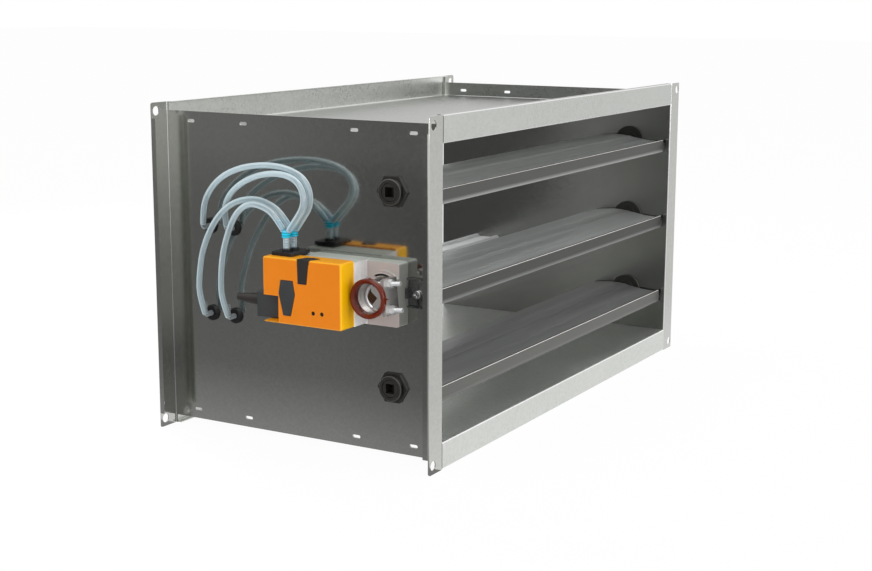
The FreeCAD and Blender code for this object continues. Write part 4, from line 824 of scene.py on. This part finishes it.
class AIRBOX_OT_clamp(bpy.types.Operator):
    """Shaft clamp with threads on its U-bolt, and the position ring"""
    bl_idname = "airbox.clamp"
    bl_label = "Shaft clamp"

    def execute(self, context):
        values = settings("air_box_clamp")
        low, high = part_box("clamp_hub")
        # Painted shade: the clamp darkens from CLAMP_DEPTH behind its front towards its back, and
        # its edges carry a painted highlight.
        cast = metal("satin clamp", colour(206, 203, 200), 0.24, (1.0, 0.3, 1.0), scale=300.0,
                     metallic=0.7, tone=0.08, wander=0.04, bump=0.04, edge=0.8,
                     zones=[("Object", 1, low.y + CLAMP_DEPTH, high.y, colour(96, 90, 85), 0.24)])
        # The shaft's warm brown is a painted reflection of the orange cover.
        shaft = metal("steel shaft, painted orange reflection", colour(128, 100, 80), 0.2, (1.0, 0.2, 1.0))
        bright = metal("bright zinc", colour(244, 245, 246), 0.18, (0.1, 1.0, 1.0), metallic=0.7,
                       tone=0.05)
        ring = plastic("red brown ring", values.ring_colour, 0.16, tone=0.12, wander=0.04,
                       bump=0.03, Specular_IOR_Level=0.35)
        screw = metal("bracket screw", colour(188, 189, 190), 0.14, (1.0, 1.0, 0.2))
        bracket = zinc("bracket zinc", colour(128, 130, 130), 0.16, 0.003, tone=0.2)
        dress(cast, "clamp_hub", "clamp_jaw")
        dress(bright, "clamp_u_bolt", "clamp_nuts")
        dress(shaft, "drive_shaft")
        dress(ring, "position_ring")
        dress(bracket, "torque_bracket")
        dress(screw, "torque_bracket_screw")
        turn = math.radians(CLAMP_TURN)
        along = Vector((math.cos(turn), 0.0, math.sin(turn)))
        up = Vector((-math.sin(turn), 0.0, math.cos(turn)))
        threads = grow("u_bolt_threads", "threads on legs", {
            "Length": THREAD_END - THREAD_START, "Pitch": values.thread_pitch,
            "Radius": LEG_RADIUS, "Crest": values.thread_pitch * CREST_SHARE,
            "First leg": (outlet_point(BLADE_AXIS, BOLT_DEPTH, 0.0) + along * THREAD_START
                          + up * LEG_SPREAD),
            "To next leg": up * (-2 * LEG_SPREAD),
            "Turn": (0.0, math.radians(90.0) - turn, 0.0), "Finish": bright})
        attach(threads, "middle_blade_unit")
        return {"FINISHED"}


def bare_tree(owner):
    """Builder for a world's or a material's tree, emptied."""
    owner.use_nodes = True
    owner.node_tree.nodes.clear()
    return Tree(owner.node_tree)


def seen_share(tree):
    """1 for what the camera sees directly, in metal or through clear plastic, otherwise 0."""
    path = tree.add("ShaderNodeLightPath").outputs
    return tree.math("MAXIMUM", path["Is Camera Ray"],
                     tree.math("MAXIMUM", path["Is Glossy Ray"], path["Is Transmission Ray"]))


def light_world(scene, daylight):
    """Even light from all round, plain white where it is seen."""
    scene.world = scene.world or bpy.data.worlds.new("daylight")
    tree = bare_tree(scene.world)
    strength = tree.spread(seen_share(tree), daylight, 1.0)
    back = tree.add("ShaderNodeBackground", {"Color": (1.0, 1.0, 1.0, 1.0),
                                             "Strength": strength})
    tree.add("ShaderNodeOutputWorld", {"Surface": back.outputs[0]})


def floor_material(tint):
    """Pale floor, almost white where it is seen, with the part's shadow left in it."""
    material = bpy.data.materials.new("pale floor")
    tree = bare_tree(material)
    share = tree.math("MULTIPLY", seen_share(tree), FLOOR_GLOW)
    matt = tree.add("ShaderNodeBsdfDiffuse", {"Color": (*tint, 1.0)})
    glow = tree.add("ShaderNodeEmission", {"Color": (1.0, 1.0, 1.0, 1.0), "Strength": 1.0})
    mix = tree.add("ShaderNodeMixShader", {0: share, 1: matt.outputs[0], 2: glow.outputs[0]})
    tree.add("ShaderNodeOutputMaterial", {"Surface": mix.outputs[0]})
    return material


def card_material(name, level, fades):
    """Grey card; each fade brightens or dims it along one direction."""
    material = bpy.data.materials.new(name)
    tree = bare_tree(material)
    place = tree.add("ShaderNodeTexCoord").outputs["Object"]
    for direction, start, end, factor in fades:
        along = tree.add("ShaderNodeVectorMath", {0: place, 1: direction},
                         operation="DOT_PRODUCT").outputs["Value"]
        level = tree.math("MULTIPLY", tree.spread(along, 1.0, factor, start, end), level)
    glow = tree.add("ShaderNodeEmission", {"Strength": level})
    tree.add("ShaderNodeOutputMaterial", {"Surface": glow.outputs[0]})
    return material


def stage_plane(name, corners, material):
    """Flat stage piece from its corners."""
    mesh = bpy.data.meshes.new(name)
    mesh.from_pydata(corners, [], [tuple(range(len(corners)))])
    mesh.materials.append(material)
    piece = new_object(name, mesh)
    piece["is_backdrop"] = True
    return piece


def set_cards(ground):
    """Grey cards that only reflections show: on the floor, beyond it and behind the inlet."""
    near, far, left, right, far_right = -0.302, -2.6, -4.0, 1.2, -1.15
    level, top = ground + CARD_GAP, 2.2
    back_x, half_y, half_z = -0.362, 0.30, 0.15
    across, along = (1.0, 0.0, 0.0), (0.0, 1.0, 0.0)
    slanting, more_slanting = (1.0, -0.583, 0.0), (1.0, -0.8, 0.0)
    for name, shade, fades, corners in (
            ("flag_floor", 0.35,
             [(along, -0.35, -0.55, 0.63), (along, -0.55, -1.10, 0.82),
              (along, -1.50, -2.60, 1.30), (more_slanting, 0.12, 0.52, 0.58),
              (slanting, 0.20, 0.52, 3.4), (slanting, 0.90, 1.60, 1.4)],
             [(left, near, level), (right, near, level), (right, far, level),
              (left, far, level)]),
            ("flag_upright", 0.26, [(across, -2.0, -1.45, 0.66)],
             [(left, far, level), (far_right, far, level), (far_right, far, top),
              (left, far, top)]),
            ("flag_inlet", 0.65, [(along, -0.24, -0.12, 0.2)],
             [(back_x, -half_y, -half_z), (back_x, half_y, -half_z),
              (back_x, half_y, half_z), (back_x, -half_y, half_z)])):
        card = stage_plane(name, corners, card_material(name, shade, fades))
        card.visible_camera = False
        card.visible_diffuse = False
        card.visible_shadow = False
        card.visible_transmission = False


def set_lamps(power):
    """Square soft lamps; each has a place, a target, a size and a share of the key lamp."""
    middle = (-0.17, 0.0, 0.0)
    for name, place, target, size, share in (
            ("side", (3.0, 0.1, 0.7), middle, 1.6, 2.2),
            ("inlet", (-1.5, 0.2, 0.5), (-0.27, 0.2, -0.04), 0.5, 1.1),
            ("front", (-0.2, -2.8, 1.7), middle, 1.6, 1.0),
            ("top", (0.1, -0.3, 2.4), middle, 1.8, 1.0)):
        data = bpy.data.lights.new(name, "AREA")
        data.size = size
        data.energy = power * share
        lamp = new_object(name, data)
        lamp.location = place
        aim = Vector(target) - Vector(place)
        lamp.rotation_euler = aim.to_track_quat("-Z", "Y").to_euler()


def set_camera():
    """Camera where the photograph was taken from."""
    data = bpy.data.cameras.new("camera")
    data.sensor_width = SENSOR_WIDTH
    data.lens = LENS
    camera = new_object("camera", data)
    azimuth, elevation, roll = (math.radians(angle) for angle in CAMERA_ANGLES)
    back = Vector((math.sin(azimuth) * math.cos(elevation),
                   -math.cos(azimuth) * math.cos(elevation), math.sin(elevation)))
    turn = (-back).to_track_quat("-Z", "Y").to_matrix() @ Matrix.Rotation(roll, 3, "Z")
    camera.location = CAMERA_PLACE
    camera.rotation_euler = turn.to_euler()
    bpy.context.scene.camera = camera


class AIRBOX_OT_stage(bpy.types.Operator):
    """Pale floor, soft lamps and the camera"""
    bl_idname = "airbox.stage"
    bl_label = "Stage and camera"

    def execute(self, context):
        values = settings("air_box_stage")
        context.scene.view_settings.view_transform = "Standard"
        light_world(context.scene, values.daylight)
        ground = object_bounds()[0].z - FLOOR_GAP
        corners = [(x * FLOOR_REACH, y * FLOOR_REACH, ground)
                   for x, y in ((-1, -1), (1, -1), (1, 1), (-1, 1))]
        stage_plane("floor", corners, floor_material(values.floor_colour))
        set_cards(ground)
        set_lamps(values.key_power)
        set_camera()
        return {"FINISHED"}


class AIRBOX_PT_panel(bpy.types.Panel):
    """Sizes, colours and steps of the air box"""
    bl_idname = "AIRBOX_PT_panel"
    bl_label = "Variable air volume box"
    bl_space_type = "VIEW_3D"
    bl_region_type = "UI"
    bl_category = "Air box"

    def draw(self, context):
        for key, group in SETTINGS.items():
            values = getattr(context.scene, key)
            box = self.layout.box()
            for name in group.__annotations__:
                box.prop(values, name)
        for step in STEPS:
            self.layout.operator(step.bl_idname)


STEPS = (AIRBOX_OT_casing, AIRBOX_OT_blades, AIRBOX_OT_linkage, AIRBOX_OT_measuring,
         AIRBOX_OT_hoses, AIRBOX_OT_actuator, AIRBOX_OT_clamp, AIRBOX_OT_stage)
CLASSES = tuple(SETTINGS.values()) + STEPS + (AIRBOX_PT_panel,)


def register():
    for item in CLASSES:
        bpy.utils.register_class(item)
    for key, group in SETTINGS.items():
        setattr(bpy.types.Scene, key, PointerProperty(type=group))


def unregister():
    for key in SETTINGS:
        delattr(bpy.types.Scene, key)
    for item in reversed(CLASSES):
        bpy.utils.unregister_class(item)


def main():
    register()
    for step in STEPS:
        group, name = step.bl_idname.split(".")
        getattr(getattr(bpy.ops, group), name)()


if __name__ == "__main__":
    main()
